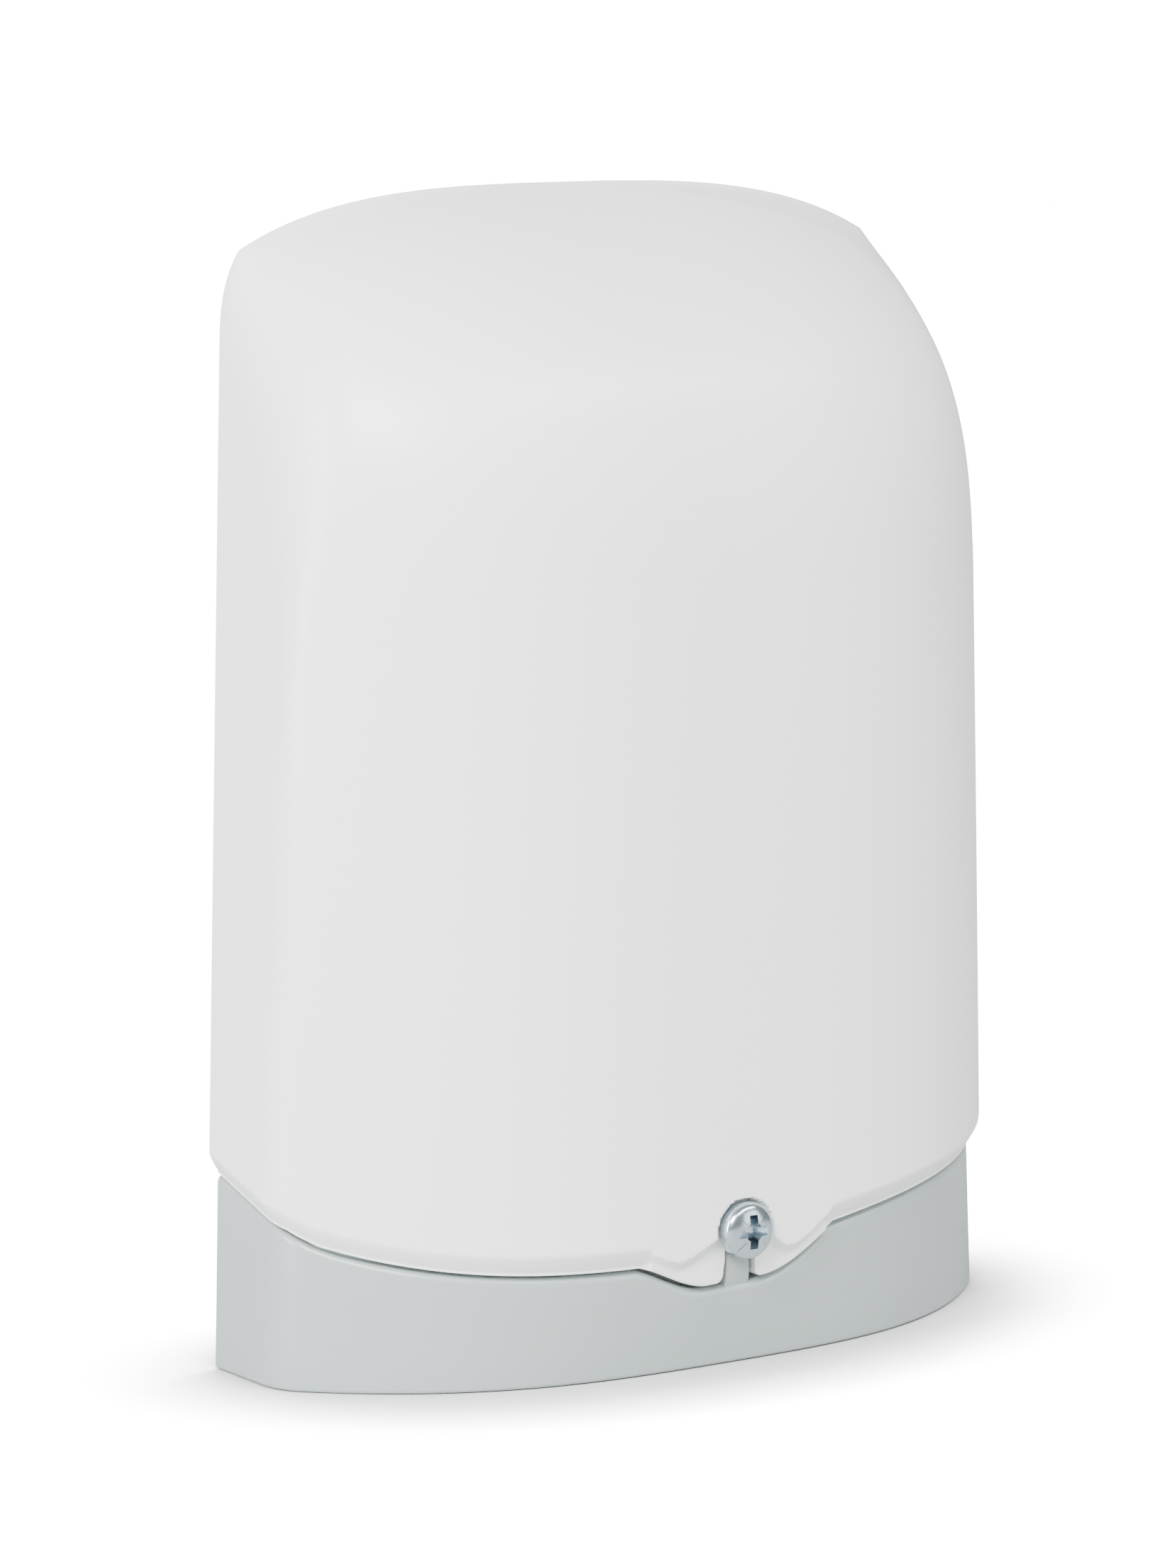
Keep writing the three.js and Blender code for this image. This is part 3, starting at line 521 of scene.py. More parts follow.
def arc(centre, radius, start, end, steps=6):
    return [(centre[0] + radius * math.cos(math.radians(mix(start, end, i / steps))),
             centre[1] + radius * math.sin(math.radians(mix(start, end, i / steps)))) for i in range(steps + 1)]


x, depth, z = middle("cable_grommet")
profile = [(4.6, 0.5), (6.5, 0.5), (6.7, 0.7), (6.7, 2.9), (8.3, 2.9)]
profile += arc((8.1, 3.4), 0.5, -60, 90) + [(6.6, 4.2), (6.2, 4.7), (5.7, 4.8), (5.5, 5.3), (5.0, 5.4), (4.8, 5.9), (4.6, 5.9)]
grommet = turned("entry_grommet", x, z, profile, 72, closed=True)
# Matt EPDM: dark, slightly dusty and soft-edged.
settle(grommet, moulded("matt_epdm_rubber", "5a5f62", 0.78, 0.6, 0.01, shade=0.12), "housing", "rubber_grey",
       "cable_grommet")

# ---------------------------------------------------------------------------
# Main board: lacquered glass-epoxy board on four posts, with its tracks under
# the green lacquer, small surface-mount parts, and four pan-head screws.
# ---------------------------------------------------------------------------
BOARD_FRONT = extent("main_board")[3]


def from_cad(node, name, edge, segments=2):
    """A copy of a CAD node's shape with its loose triangles merged and its edges rounded."""
    piece = bpy.data.objects.new(name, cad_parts[node].data.copy())
    bpy.context.scene.collection.objects.link(piece)
    shape = bmesh.new()
    shape.from_mesh(piece.data)
    bmesh.ops.remove_doubles(shape, verts=shape.verts, dist=0.002 * MM)
    bmesh.ops.dissolve_limit(shape, angle_limit=math.radians(2), verts=shape.verts, edges=shape.edges)
    shape.to_mesh(piece.data)
    shape.free()
    soften(piece, edge, segments)
    return piece


def merged(name, pieces):
    """Joins several bodies into one object."""
    bpy.ops.object.select_all(action="DESELECT")
    for piece in pieces:
        piece.select_set(True)
    bpy.context.view_layer.objects.active = pieces[0]
    bpy.ops.object.join()
    pieces[0].name = name
    return pieces[0]


def lacquered_board(name, tone, track_tone, pitch):
    """Solder resist over copper: glossy green, with paler tracks on a grid of the given pitch in mm."""
    material = new_material(name)
    place_on = add_node(material, "ShaderNodeTexCoord").outputs["Object"]
    cells = add_node(material, "ShaderNodeTexVoronoi", {"Vector": place_on, "Scale": 1 / (9 * MM), "Randomness": 0.9})
    pick_way = add_node(material, "ShaderNodeSeparateColor", {"Color": cells.outputs["Color"]})
    lines = []
    for way in ("X", "Z"):
        wave = add_node(material, "ShaderNodeTexWave", {"Vector": place_on, "Scale": 1 / (pitch * MM) / 20 * math.pi},
                        bands_direction=way)
        lines.append(add_node(material, "ShaderNodeMath", {0: wave.outputs["Fac"], 1: 0.82}, operation="GREATER_THAN"))
    chosen = add_node(material, "ShaderNodeMath", {0: pick_way.outputs["Red"], 1: 0.55}, operation="GREATER_THAN")
    track = add_node(material, "ShaderNodeMix", {0: chosen.outputs[0], 2: lines[0].outputs[0], 3: lines[1].outputs[0]})
    colour = add_node(material, "ShaderNodeMix",
                      {0: track.outputs[0], 6: linear(tone), 7: linear(track_tone)}, data_type="RGBA")
    bump = add_node(material, "ShaderNodeBump",
                    {"Height": track.outputs[0], "Strength": 0.6, "Distance": 0.035 * MM})
    return finish_surface(material, colour=colour.outputs[2], rough=0.28, bump=bump.outputs["Normal"], ior=1.55)


def plated(name, tone, rough, scratch, depth):
    """Plated steel: a bright coat with fine handling marks; scratch is their spacing in mm."""
    material = new_material(name)
    place_on = add_node(material, "ShaderNodeTexCoord").outputs["Object"]
    stretched = add_node(material, "ShaderNodeMapping", {"Vector": place_on, "Scale": (1.0, 0.3, 2.2)})
    marks = add_node(material, "ShaderNodeTexNoise",
                     {"Vector": stretched.outputs["Vector"], "Scale": 1 / (scratch * MM), "Detail": 6.0, "Roughness": 0.7})
    clouds = add_node(material, "ShaderNodeTexNoise", {"Vector": place_on, "Scale": 1 / (1.4 * MM), "Detail": 2.0})
    base = linear(tone)
    shade = tuple(c * 0.82 for c in base[:3]) + (1,)
    colour = add_node(material, "ShaderNodeMix", {0: clouds.outputs["Fac"], 6: shade, 7: base}, data_type="RGBA")
    gloss = add_node(material, "ShaderNodeMapRange",
                     {"Value": marks.outputs["Fac"], "To Min": rough * 0.7, "To Max": rough * 1.4})
    bump = add_node(material, "ShaderNodeBump",
                    {"Height": marks.outputs["Fac"], "Strength": 0.5, "Distance": depth * MM})
    return finish_surface(material, colour=colour.outputs[2], rough=gloss.outputs["Result"], metal=1.0,
                          bump=bump.outputs["Normal"])


main_board = from_cad("main_board", "glass_epoxy_board", 0.15)
green_lacquer = lacquered_board("green_lacquered_board", "1d6238", "2f8650", 2.54)
settle(main_board, green_lacquer, "housing", "board_green", "main_board")

tin_plate = plated("bright_tin_plate", "c4c8c9", 0.3, 0.3, 0.004)
zinc_plate = plated("blue_passivated_zinc", "b4c0c8", 0.2, 0.25, 0.004)
chip_body = moulded("moulded_epoxy", "1d1e20", 0.5, 0.15, 0.006, shade=0.15)


def chip_parts():
    """Small two-ended parts: a dark body between two tinned ends, in short rows."""
    bodies, ends = [], []
    places = [(-30 + 4.2 * i, 84 + 3.1 * (i % 3)) for i in range(4)]
    places += [(-33 + 5 * i, 104 + 2.7 * (i % 2)) for i in range(3)] + [(27 + 3.4 * i, 84 + 3.3 * (i % 2)) for i in range(3)]
    places += [(28 + 3 * (i % 2), 95 + 4 * i) for i in range(4)] + [(20 + 3.4 * i, 78.5) for i in range(3)]
    for x, z in places:
        bodies.append(bar("chip", x - 0.7, x + 0.7, BOARD_FRONT, BOARD_FRONT + 0.5, z - 0.6, z + 0.6))
        for side in (-1, 1):
            end = sorted((x + side * 0.65, x + side * 1.05))
            ends.append(bar("end", *end, BOARD_FRONT - 0.02, BOARD_FRONT + 0.55, z - 0.63, z + 0.63))
    return merged("chip_part_bodies", bodies), merged("chip_part_ends", ends)


chip_bodies, chip_ends = chip_parts()
settle(chip_bodies, chip_body, "housing", "black_plastic")
settle(chip_ends, tin_plate, "housing", "tinned_steel")

for i in range(1, 5):
    node = f"board_screw_{i}"
    x, depth, z = middle(node)
    seat = BOARD_FRONT + 0.15
    head = [(0, seat + 2.1), (0.9, seat + 2.05)] + arc((1.5, seat + 0.7), 1.3, 75, 5, 8) + [(2.75, seat), (1.2, seat)]
    thread = [(1.2 if k % 2 else 1.0, seat - 0.25 * k) for k in range(1, 20)]
    screw = turned(node + "_pan_head", x, z, head + thread + [(0, seat - 6)], 40)
    for dx, dz in ((1.7, 0.3), (0.3, 1.7)):
        carve(screw, bar("cross", x - dx, x + dx, seat + 1.0, seat + 3, z - dz, z + dz))
    smooth(screw, 40)
    settle(screw, zinc_plate, "housing", "zinc_plate", node)

# ---------------------------------------------------------------------------
# Terminal block: green polyamide with five wire mouths that face down, a steel
# clamp cage in each, and five slotted clamp screws in wells that face the front.
# ---------------------------------------------------------------------------
block = from_cad("terminal_block", "terminal_block_moulding", 0.22)
settle(block, moulded("glass_filled_polyamide", "2f7d4a", 0.55, 0.3, 0.012, shade=0.08), "housing", "terminal_green",
       "terminal_block")
cages = []
for i in range(1, 6):
    node = f"terminal_screw_{i}"
    x, depth, z = middle(node)
    near, far = extent(node)[2:4]
    radius = 1.8
    profile = [(0, near)] + [(radius, near)] + [(radius - 0.18 * (k % 2), near + 0.2 * k) for k in range(1, 11)]
    profile += [(radius, far - 0.4), (radius - 0.25, far), (0, far)]
    screw = turned(node + "_slotted", x, z, profile, 40)
    carve(screw, bar("slot", x - 2.2, x + 2.2, far - 0.9, far + 1, z - 0.35, z + 0.35))
    smooth(screw, 40)
    settle(screw, zinc_plate, f"terminal_screw_{i}", "zinc_plate", node)
    cage = bar("cage", x - 1.85, x + 1.85, BOARD_FRONT + 1.6, BOARD_FRONT + 5.3, 39.2, 43.6)
    carve(cage, bar("mouth", x - 1.4, x + 1.4, BOARD_FRONT + 2.1, BOARD_FRONT + 4.8, 38, 45))
    soften(cage, 0.12)
    cages.append(cage)
settle(merged("terminal_clamp_cages", cages), tin_plate, "housing", "tinned_steel")

# ---------------------------------------------------------------------------
# Power and output parts on the lower half of the board: relay, transformer,
# capacitors, fuse and varistor, each soldered through the board.
# ---------------------------------------------------------------------------
relay = from_cad("relay", "relay_case", 0.5, 3)
settle(relay, moulded("moulded_polyester_blue", "2a5fb0", 0.4, 0.4, 0.006, shade=0.08), "housing", "relay_blue", "relay")

core = from_cad("transformer_core", "ferrite_core", 0.3, 2)
settle(core, moulded("sintered_ferrite", "33312f", 0.75, 0.12, 0.02, shade=0.25), "housing", "ferrite",
       "transformer_core")
x, depth, z = middle("transformer_winding")
near, far = extent("transformer_winding")[2:4]
wire = 0.62
turns = int((far - near - 1.6) / wire)
profile = [(0, near), (4.7, near), (4.7, near + 0.8)]
for k in range(turns):
    along = near + 0.8 + wire * (k + 0.5)
    profile += [(4.55 + 0.31 * math.cos(math.radians(a)), along + 0.31 * math.sin(math.radians(a))) for a in (-75, -35, 0, 35, 75)]
profile += [(4.7, far - 0.8), (4.7, far), (0, far)]
winding = turned("transformer_coil", x, z, profile, 64)
settle(winding, plated("enamelled_copper", "b86a2a", 0.25, 0.4, 0.003), "housing", "copper_wire", "transformer_winding")

sleeve = moulded("shrunk_pvc_sleeve", "20242c", 0.3, 1.2, 0.008, shade=0.2)
tops = []
for node, name in (("bulk_capacitor", "bulk_capacitor_can"), ("output_capacitor", "output_capacitor_can")):
    x, depth, z = middle(node)
    x0, x1, near, far = extent(node)[:4]
    radius = (x1 - x0) / 2
    profile = [(0, near), (radius - 0.5, near)] + arc((radius - 0.4, near + 0.4), 0.4, -60, 0, 4)
    profile += [(radius, near + 1.4)] + arc((radius + 0.35, near + 2.0), 0.7, 210, 150, 6)[:0]
    profile += [(radius - 0.15, near + 1.6), (radius - 0.45, near + 1.85), (radius - 0.5, near + 2.1),
                (radius - 0.45, near + 2.35), (radius - 0.15, near + 2.6), (radius, near + 2.8)]
    profile += arc((radius - 0.55, far - 0.55), 0.55, 0, 90, 6) + [(radius - 1.1, far - 0.05), (radius - 1.15, far - 0.3), (0, far - 0.3)]
    can = turned(name, x, z, profile, 64)
    settle(can, sleeve, "housing", "capacitor_sleeve", node)
    top = turned("can_top", x, z, [(0, far - 0.5), (radius - 1.2, far - 0.5), (radius - 1.2, far - 0.15), (0, far - 0.15)], 48)
    for dx, dz in ((radius - 1.9, 0.12), (0.12, radius - 1.9)):
        carve(top, bar("vent", x - dx, x + dx, far - 0.28, far + 1, z - dz, z + dz))
    tops.append(top)
settle(merged("capacitor_can_tops", tops), tin_plate, "housing", "tinned_steel")

film = from_cad("film_capacitor", "film_capacitor_box", 0.45, 3)
settle(film, moulded("polypropylene_box", "d8a51f", 0.35, 0.8, 0.006, shade=0.06), "housing", "film_yellow",
       "film_capacitor")

x, depth, z = middle("fuse")
near, far = extent("fuse")[2:4]
profile = [(0, near), (3.9, near), (4.1, near + 0.2), (4.1, far - 1.2), (3.95, far - 1.1), (3.95, far - 0.9), (4.1, far - 0.8)]
profile += arc((3.6, far - 0.5), 0.5, 0, 90, 5) + [(0, far)]
settle(turned("radial_fuse", x, z, profile, 56), chip_body, "housing", "black_plastic", "fuse")

x, depth, z = middle("varistor")
x0, x1, near, far, z0, z1 = extent("varistor")
half, radius = (z1 - z0) / 2, (x1 - x0) / 2
profile = [(0, -half), (2.5, -half + 0.05), (3.8, -half + 0.3)] + arc((radius - 1.3, 0), 1.3, -70, 70, 10)
profile += [(3.8, half - 0.3), (2.5, half - 0.05), (0, half)]
disc = turned("disc_varistor", x, z, profile, 64, upright=True, depth=depth)
settle(disc, moulded("dipped_epoxy_blue", "2b59a8", 0.35, 1.5, 0.02, shade=0.1), "housing", "ceramic_blue", "varistor")
leads = [turned("lead", x + side * 2.5, z, [(0, BOARD_FRONT - 0.2), (0.3, BOARD_FRONT - 0.2), (0.3, near + 1.2), (0, near + 1.2)], 12)
         for side in (-1, 1)]
settle(merged("varistor_leads", leads), tin_plate, "housing", "tinned_steel")

# ---------------------------------------------------------------------------
# Controls on the middle of the board: the controller chip with its leads, three
# trimmers for range, hold time and light level, and the red walk-test LED.
# ---------------------------------------------------------------------------
controller = from_cad("controller_chip", "controller_package", 0.15)
settle(controller, chip_body, "housing", "black_plastic", "controller_chip")
x0, x1, near, far, z0, z1 = extent("controller_chip")
pins = []
for k in range(11):
    z = mix(z0 + 0.9, z1 - 0.9, k / 10)
    for inner_x, outer_x in ((x0, x0 - 0.7), (x1, x1 + 0.7)):
        pins.append(bar("pin", *sorted((inner_x, outer_x)), near + 0.45, near + 0.65, z - 0.15, z + 0.15))
        foot_x = sorted((outer_x, outer_x + math.copysign(0.55, outer_x - inner_x)))
        pins.append(bar("foot", *foot_x, BOARD_FRONT, near + 0.65, z - 0.15, z + 0.15))
settle(merged("controller_leads", pins), tin_plate, "housing", "tinned_steel")

trimmer_blue = moulded("moulded_polyester_trimmer", "2f66b5", 0.4, 0.3, 0.006, shade=0.08)
natural_nylon = moulded("natural_nylon", "e6e2d6", 0.45, 0.5, 0.006, shade=0.04)
for i in range(1, 4):
    body = from_cad(f"trimmer_body_{i}", f"trimmer_case_{i}", 0.3)
    settle(body, trimmer_blue, "housing", "relay_blue", f"trimmer_body_{i}")
    node = f"trimmer_knob_{i}"
    x, depth, z = middle(node)
    near, far = extent(node)[2:4]
    profile = [(0, near), (2.9, near), (2.9, far - 0.5)] + arc((2.5, far - 0.4), 0.4, 0, 90, 5) + [(0, far)]
    knob = turned(f"trimmer_wheel_{i}", x, z, profile, 48)
    carve(knob, bar("slot", x - 2.3, x + 2.3, far - 1.0, far + 1, z - 0.4, z + 0.4))
    arrow = slab("arrow", [(x + 0.9, z - 0.9), (x + 2.4, z), (x + 0.9, z + 0.9)], far - 1.4, far + 1)
    carve(knob, arrow)
    smooth(knob, 40)
    settle(knob, natural_nylon, node, "nylon_natural", node)

x, depth, z = middle("status_led")
near, far = extent("status_led")[2:4]
profile = [(0, near), (1.9, near), (1.9, near + 1), (1.5, near + 1)] + arc((0, far - 1.5), 1.5, 0, 90, 10)
led = turned("walk_test_led", x, z, profile, 40)
red_epoxy = finish_surface(new_material("tinted_epoxy_lens"), colour=linear("c0201a"), rough=0.12, ior=1.5,
                           clear=0.35)
settle(led, red_epoxy, "housing", "red_lens", "status_led")

# ---------------------------------------------------------------------------
# Radar module: a low-loss board on two nylon spacers and a pin header. Four
# antenna patches face the cover, and a tinned can shields the circuit behind.
# ---------------------------------------------------------------------------
radar = from_cad("radar_board", "radar_laminate_board", 0.12)
settle(radar, lacquered_board("low_loss_laminate", "235a30", "2c6b3b", 1.6), "housing", "radar_laminate", "radar_board")
x0, x1, near, far, z0, z1 = extent("radar_board")
copper = []
for side in (-1, 1):
    for level in (0.32, 0.72):
        x, z = side * 11, mix(z0, z1, level)
        copper.append(bar("patch", x - 4.4, x + 4.4, far - 0.05, far + 0.06, z - 4.1, z + 4.1))
    copper.append(bar("feed", side * 11 - 0.4, side * 11 + 0.4, far - 0.05, far + 0.05, mix(z0, z1, 0.32) + 4, mix(z0, z1, 0.72) - 4))
copper.append(bar("feed", -11, 11, far - 0.05, far + 0.05, (z0 + z1) / 2 + 0.3, (z0 + z1) / 2 + 1.1))
copper.append(bar("feed", -0.4, 0.4, far - 0.05, far + 0.05, (z0 + z1) / 2 + 1, z1 - 3))
settle(merged("antenna_patches", copper), plated("immersion_gold", "d9b25a", 0.3, 0.5, 0.003), "housing", "copper_wire")

shield = from_cad("radar_shield", "radar_shield_can", 0.25, 2)
settle(shield, tin_plate, "housing", "tinned_steel", "radar_shield")
for i in (1, 2):
    node = f"radar_spacer_{i}"
    x, depth, z = middle(node)
    near, far = extent(node)[2:4]
    profile = [(0, near), (2.5, near), (2.6, near + 0.15), (2.6, near + 12.0), (1.2, near + 12.05), (1.2, near + 13.55),
               (1.9, near + 13.65), (1.75, near + 14.1), (0.9, far), (0, far)]
    settle(turned(f"snap_spacer_{i}", x, z, profile, 48), natural_nylon, "housing", "nylon_natural", node)

header = from_cad("radar_pin_header", "pin_header_body", 0.2)
settle(header, chip_body, "housing", "black_plastic", "radar_pin_header")
z = middle("radar_pin_header")[2]
posts = [bar("post", -8.89 + 2.54 * k - 0.3, -8.89 + 2.54 * k + 0.3, far - 0.3, far + 1.1, z - 0.3, z + 0.3) for k in range(8)]
for post in posts:
    soften(post, 0.1)
settle(merged("header_pins", posts), tin_plate, "housing", "tinned_steel")

# ---------------------------------------------------------------------------
# Tamper switch: the red plunger is pushed in by the post in the cover, and the
# spring drives it out when the cover comes off.
# ---------------------------------------------------------------------------
tamper = from_cad("tamper_switch", "tamper_switch_case", 0.3)
settle(tamper, chip_body, "housing", "black_plastic", "tamper_switch")
x, depth, z = middle("tamper_plunger")
near, far = extent("tamper_plunger")[2:4]
profile = [(0, near), (1.1, near), (1.1, near + 6.4), (2.3, near + 6.4), (2.4, near + 6.5), (2.4, near + 7.1)]
profile += [(2.2, near + 7.4), (1.6, far - 0.05), (0, far)]
plunger = turned("tamper_plunger_cap", x, z, profile, 48)
settle(plunger, moulded("moulded_acetal_red", "b81f1a", 0.35, 0.5, 0.005, shade=0.05), "tamper_plunger", "plunger_red",
       "tamper_plunger")

near, far = extent("tamper_spring")[2:4]
COIL_TURNS, COIL_STEPS, WIRE_STEPS, WIRE = 4, 28, 10, 0.2
rings = []
for i in range(COIL_TURNS * COIL_STEPS + 1):
    angle = 2 * math.pi * i / COIL_STEPS
    along = mix(near + WIRE, far - WIRE, i / (COIL_TURNS * COIL_STEPS))
    ring = []
    for k in range(WIRE_STEPS):
        tilt = 2 * math.pi * k / WIRE_STEPS
        radius = 1.85 + WIRE * math.cos(tilt)
        ring.append((x + radius * math.cos(angle), along + WIRE * math.sin(tilt), z + radius * math.sin(angle)))
    rings.append(ring)
spring = lofted("tamper_spring_coil", rings)
pick(spring)
bpy.ops.object.mode_set(mode="EDIT")
bpy.ops.mesh.select_all(action="SELECT")
bpy.ops.mesh.normals_make_consistent(inside=False)
bpy.ops.object.mode_set(mode="OBJECT")
smooth(spring, 50)
settle(spring, plated("drawn_stainless_wire", "a6abaf", 0.25, 0.3, 0.003), "housing", "spring_steel", "tamper_spring")
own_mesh(spring)

# ---------------------------------------------------------------------------
# Front cover: one ABS shell, bowed across and rolled back to the wall at the
# top. Its bevelled lip ends in a lug with an open slot, which the screw clamps.
# ---------------------------------------------------------------------------
COVER_DEPTH = -COVER_LOW.y / MM
COVER_BOW = 20.5
ROLL_START = 93.2
ROLL_POWER = 3.23
WALL_GAP = 0.6
LIP_INSET = 1.5
LIP_HEIGHT = 2.6
LIP_LAND = 0.3
LUG_FRONT = 37.1
LUG_BACK = 33.6
SCREW_RADIUS = 3.5
LIP_OUTSIDE = {"half_width": 50.9, "depth": 36.9, "bow": 21.3, "edge": 2.4}
LIP_INSIDE = {"half_width": 48.6, "depth": LUG_BACK, "bow": 18.8, "edge": 1.6}
BLEND_HEIGHT = 34.0


def cover_section(z, wall, inset, steps):
    share = min(max((z - ROLL_START) / (COVER_TOP - wall - ROLL_START), 0), 1)
    section = {"half_width": cover_half_width(z, wall) - inset,
               "depth": (COVER_DEPTH - wall) * (1 - share ** ROLL_POWER) - inset,
               "bow": COVER_BOW, "edge": max(2.5 + 12.75 * share - 0.5 * wall, 0.8)}
    return whole(plan_section(back=WALL_GAP, front_steps=steps, **section))


def scoop(x, z):
    """How far a point lies inside the shallow scoop round the screw and over the lug, in mm."""
    points = ((-15, 16.4), (-12.7, 15.5), (-10.8, 14.6), (-9.0, 14.15), (-7.2, 14.8), (-3.7, 16.5),
              (0, 16.5), (3.7, 16.2), (4.9, 15.1), (6.0, 14.35), (7.3, 14.5), (9.7, 15.7), (12.2, 17.3), (15, 19.2))
    height = points[0][1]
    for (x0, z0), (x1, z1) in zip(points, points[1:]):
        if x0 <= x <= x1:
            height = mix(z0, z1, (x - x0) / (x1 - x0))
    arch = 2.2 * (SCREW_RADIUS + 0.42 - math.hypot(x, z - SCREW_AXIS))
    return max(0.88 * (height - z), arch)


def lip_inset(height):
    rise = max(height - LIP_LAND, 0) / (LIP_HEIGHT - LIP_LAND)
    return LIP_INSET * max(1 - rise, 0) ** 1.25


def face_point(x, depth, z, bevelled):
    """Depth of the outer face: plain cover, bevelled lip, and scoop with the lug in the middle."""
    if abs(x) > LUG_SIDE or depth < 25:
        return bevelled
    ramp = 0.75
    scooped = depth - max(depth - LUG_FRONT, 0) * ease(scoop(x, z) / ramp)
    lug = ease((LUG_SIDE - 0.9 - abs(x)) / 0.45)
    foot = z - edge_height(x, depth)
    radius = 0.35
    rounding = radius - math.sqrt(max(radius ** 2 - max(radius - foot, 0) ** 2, 0))
    return mix(bevelled, scooped, lug) - rounding * lug


cover_steps = spread(15, 0.32, 1.8, 48)
shares = [0, 0.003, 0.008, 0.016] + [0.016 + 0.0145 * i for i in range(1, 37)]
shares += [mix(shares[-1], 1, (i / 12) ** 1.2) for i in range(1, 13)]
outer, inner = [], []
faces_low = {z: {0: cover_section(z, 0, 0, cover_steps)} for z in (10, BLEND_HEIGHT)}
for faces_at in faces_low.values():
    faces_at[LIP_INSET] = whole(plan_section(back=WALL_GAP, front_steps=cover_steps, **LIP_OUTSIDE))
hollow_low = {z: cover_section(z, WALL, 0, cover_steps) for z in (10, BLEND_HEIGHT)}
lip_back = whole(plan_section(back=WALL_GAP, front_steps=cover_steps, **LIP_INSIDE))


def depth_on(section, x, fallback):
    """Depth of a section's front at x, or the fallback where x lies outside the bowed part."""
    for (x0, d0), (x1, d1) in zip(section, section[1:]):
        if x0 <= x <= x1 and x1 - x0 > 1e-6 and min(d0, d1) > 10:
            return mix(d0, d1, (x - x0) / (x1 - x0))
    return fallback


lip_face = faces_low[10][LIP_INSET]
for share in shares:
    row, hollow = [], []
    for i in range(len(lip_back)):
        x, d = faces_low[10][0][i]
        slide = ease((abs(x) - LUG_SIDE) / 20)
        foot_x = mix(x, lip_face[i][0], slide)
        foot_d = lip_face[i][1] if slide == 1 else depth_on(lip_face, foot_x, lip_face[i][1])
        bottom = edge_height(foot_x, foot_d)
        z = mix(bottom, BLEND_HEIGHT, share)
        part = (z - 10) / (BLEND_HEIGHT - 10)
        px, pd = [mix(faces_low[10][0][i][k], faces_low[BLEND_HEIGHT][0][i][k], part) for k in (0, 1)]
        inset = lip_inset(z - seam(foot_x, foot_d)) / LIP_INSET
        face_x, face_d = mix(px, foot_x, inset), mix(pd, foot_d, inset)
        row.append((face_x, face_point(face_x, pd, z, face_d), z))
        shell = [mix(hollow_low[10][i][k], hollow_low[BLEND_HEIGHT][i][k], part) for k in (0, 1)]
        above = ease((z - seam(x, d) - 2.4) / 1.2)
        if abs(x) < LUG_SIDE and d > 25:
            above = ease((z - 24) / 0.8)
        hollow.append((mix(lip_back[i][0], shell[0], above), mix(lip_back[i][1], shell[1], above), z))
    outer.append(row)
    inner.append(hollow)
for i in range(1, 15):
    z = mix(BLEND_HEIGHT, ROLL_START, i / 14)
    outer.append([(x, d, z) for x, d in cover_section(z, 0, 0, cover_steps)])
    inner.append([(x, d, z) for x, d in cover_section(z, WALL, 0, cover_steps)])
ROLL_ROWS = 56
for i in range(1, ROLL_ROWS + 1):
    angle = math.radians(83.5 * i / ROLL_ROWS)
    for rows, wall in ((outer, 0), (inner, WALL)):
        z = ROLL_START + (COVER_TOP - wall - ROLL_START) * math.sin(angle)
        rows.append([(x, d, z) for x, d in cover_section(z, wall, 0, cover_steps)])

count, rows = len(outer[0]), len(outer)
vertices = [p for row in outer + inner for p in row]
faces = []
for r in range(rows - 1):
    for i in range(count - 1):
        a = r * count + i
        b = a + rows * count
        faces.append((a, a + 1, a + 1 + count, a + count))
        faces.append((b + 1, b, b + count, b + 1 + count))
for i in range(count - 1):
    low_row, top_row, shift = i, (rows - 1) * count + i, rows * count
    faces.append((low_row + 1, low_row, low_row + shift, low_row + 1 + shift))
    faces.append((top_row, top_row + 1, top_row + 1 + shift, top_row + shift))
for r in range(rows - 1):
    left, end, shift = r * count, r * count + count - 1, rows * count
    faces.append((left, left + count, left + count + shift, left + shift))
    faces.append((end + count, end, end + shift, end + count + shift))
cover = mesh_object("front_cover_moulding", vertices, faces)

SLOT = 2.15
slot = [(-4.3, 6), (4.0, 6), (3.2, 10.75)]
slot += [(3.2 - 1.05 * math.sin(math.radians(a)), 11.8 - 1.05 * math.cos(math.radians(a))) for a in (15, 35, 55, 75, 90)]
slot += [(SLOT * math.cos(math.radians(a)), SCREW_AXIS + SLOT * math.sin(math.radians(a))) for a in range(0, 181, 12)]
slot += [(-2.15 - 0.08 * i, 13.6 - 0.36 * i) for i in range(1, 5)]
slot += [(-3.85 + 1.38 * math.cos(math.radians(a)), 12.0 - 1.5 * math.sin(math.radians(a))) for a in (10, 30, 50, 70, 90)]
carve(cover, slab("slot", slot, 29, 45))
for side in (-1, 1):
    tongue = slab("tongue", [(side * x, z) for x, z in ((45.6, 37), (49.6, 37), (46.6, 110), (42.5, 110))][::side],
                  WALL_GAP, 2.2)
    carve(cover, tongue, "UNION")
post = slab("tamper_post", round_outline(32, 75, 2), 22.6, 31.4)
soften(post, 0.3)
carve(cover, post, "UNION")
smooth(cover, 28)


def grained_white_abs():
    """Spark-eroded ABS: a fine even grain that turns the light matt, with a faint warmth in its shade."""
    material = moulded("spark_eroded_abs", "e9ebea", 0.36, 0.35, 0.006, shade=0.012)
    return material


settle(cover, grained_white_abs(), "cover", "cover_white", "front_cover")

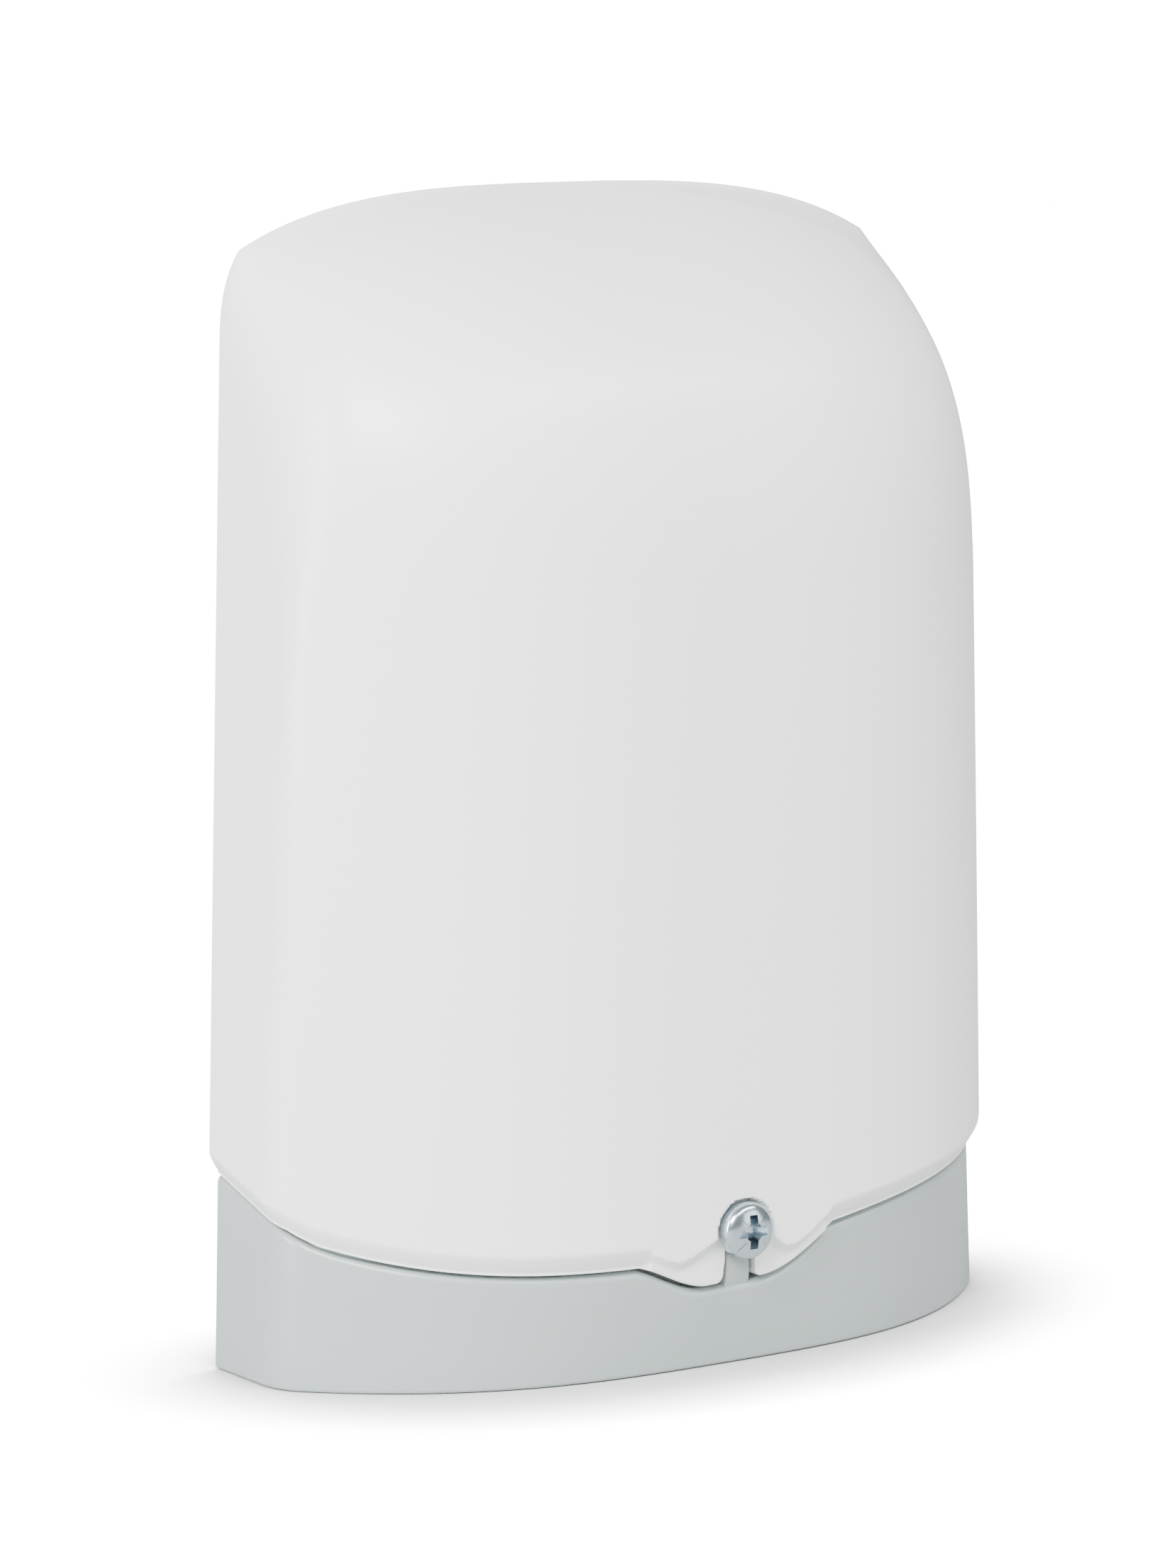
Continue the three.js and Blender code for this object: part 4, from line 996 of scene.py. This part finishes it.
# ---------------------------------------------------------------------------
# Cover screw and its nylon washer: a zinc-plated pan head with a cross recess
# and four tick marks. It clamps the lug against the housing's boss.
# ---------------------------------------------------------------------------
x, depth, z = middle("screw_washer")
near, far = extent("screw_washer")[2:4]
washer = turned("captive_washer", x, z, [(1.95, near), (2.9, near), (3.0, near + 0.1), (3.0, far - 0.1), (2.9, far), (1.95, far)],
                64, closed=True)
settle(washer, natural_nylon, "screw_washer", "nylon_natural", "screw_washer")

near, far = extent("cover_screw")[2:4]
x, depth, z = 0.0, far, SCREW_AXIS
seat = far - 2.6
head = [(SCREW_RADIUS * math.sin(math.radians(a)) ** 0.8, seat + 0.55 + 2.05 * math.cos(math.radians(a)) ** 0.62)
        for a in (0, 8, 16, 24, 32, 40, 48, 56, 64, 71, 77, 82, 86, 89)]
head += [(SCREW_RADIUS, seat + 0.5), (SCREW_RADIUS, seat + 0.3), (SCREW_RADIUS - 0.08, seat + 0.12), (SCREW_RADIUS - 0.25, seat)]
shank = [(1.75, seat)]
for k in range(1, 16):
    shank += [(1.72, seat - 0.65 * k), (1.5, seat - 0.65 * k - 0.3)]
screw = turned("cover_screw_pan_head", x, z, head + shank + [(0, near)], 96)


def wing(angle, length, width, depth_from, taper):
    """A tapered blade across the screw's axis, as the driver's tip presses it into the head."""
    front, back = 0.5 * length, 0.5 * length - taper
    blade = []
    for along, reach, half in ((depth_from, back, 0.36 * width), (far + 0.6, front + 0.25, 0.5 * width + 0.06)):
        for a, b in ((-reach, -half), (reach, -half), (reach, half), (-reach, half)):
            blade.append((x + a * math.cos(angle) - b * math.sin(angle), along, z + a * math.sin(angle) + b * math.cos(angle)))
    faces = [(3, 2, 1, 0), (4, 5, 6, 7), (0, 1, 5, 4), (1, 2, 6, 5), (2, 3, 7, 6), (3, 0, 4, 7)]
    return mesh_object("wing", blade, faces)


for angle in (0, math.pi / 2):
    carve(screw, wing(angle, 4.5, 1.15, far - 2.0, 1.15))
for angle in (math.pi / 4, 3 * math.pi / 4):
    carve(screw, wing(angle, 2.35, 0.5, far - 1.5, 0.5))
for k in range(4):
    angle = math.pi / 4 + k * math.pi / 2
    for reach in (1.75, 2.1, 2.45, 2.8):
        height = seat + 0.55 + 2.05 * max(1 - (reach / SCREW_RADIUS) ** 2.5, 0) ** 0.31
        tick = bar("tick", x + reach - 0.2, x + reach + 0.2, height - 0.14, height + 0.7, z - 0.05, z + 0.05)
        tick.data.transform(Matrix.Translation(place(x, 0, z)) @ Matrix.Rotation(angle, 4, "Y")
                            @ Matrix.Translation(place(x, 0, z)).inverted())
        carve(screw, tick)
smooth(screw, 28)
settle(screw, zinc_plate, "cover_screw", "zinc_plate", "cover_screw")
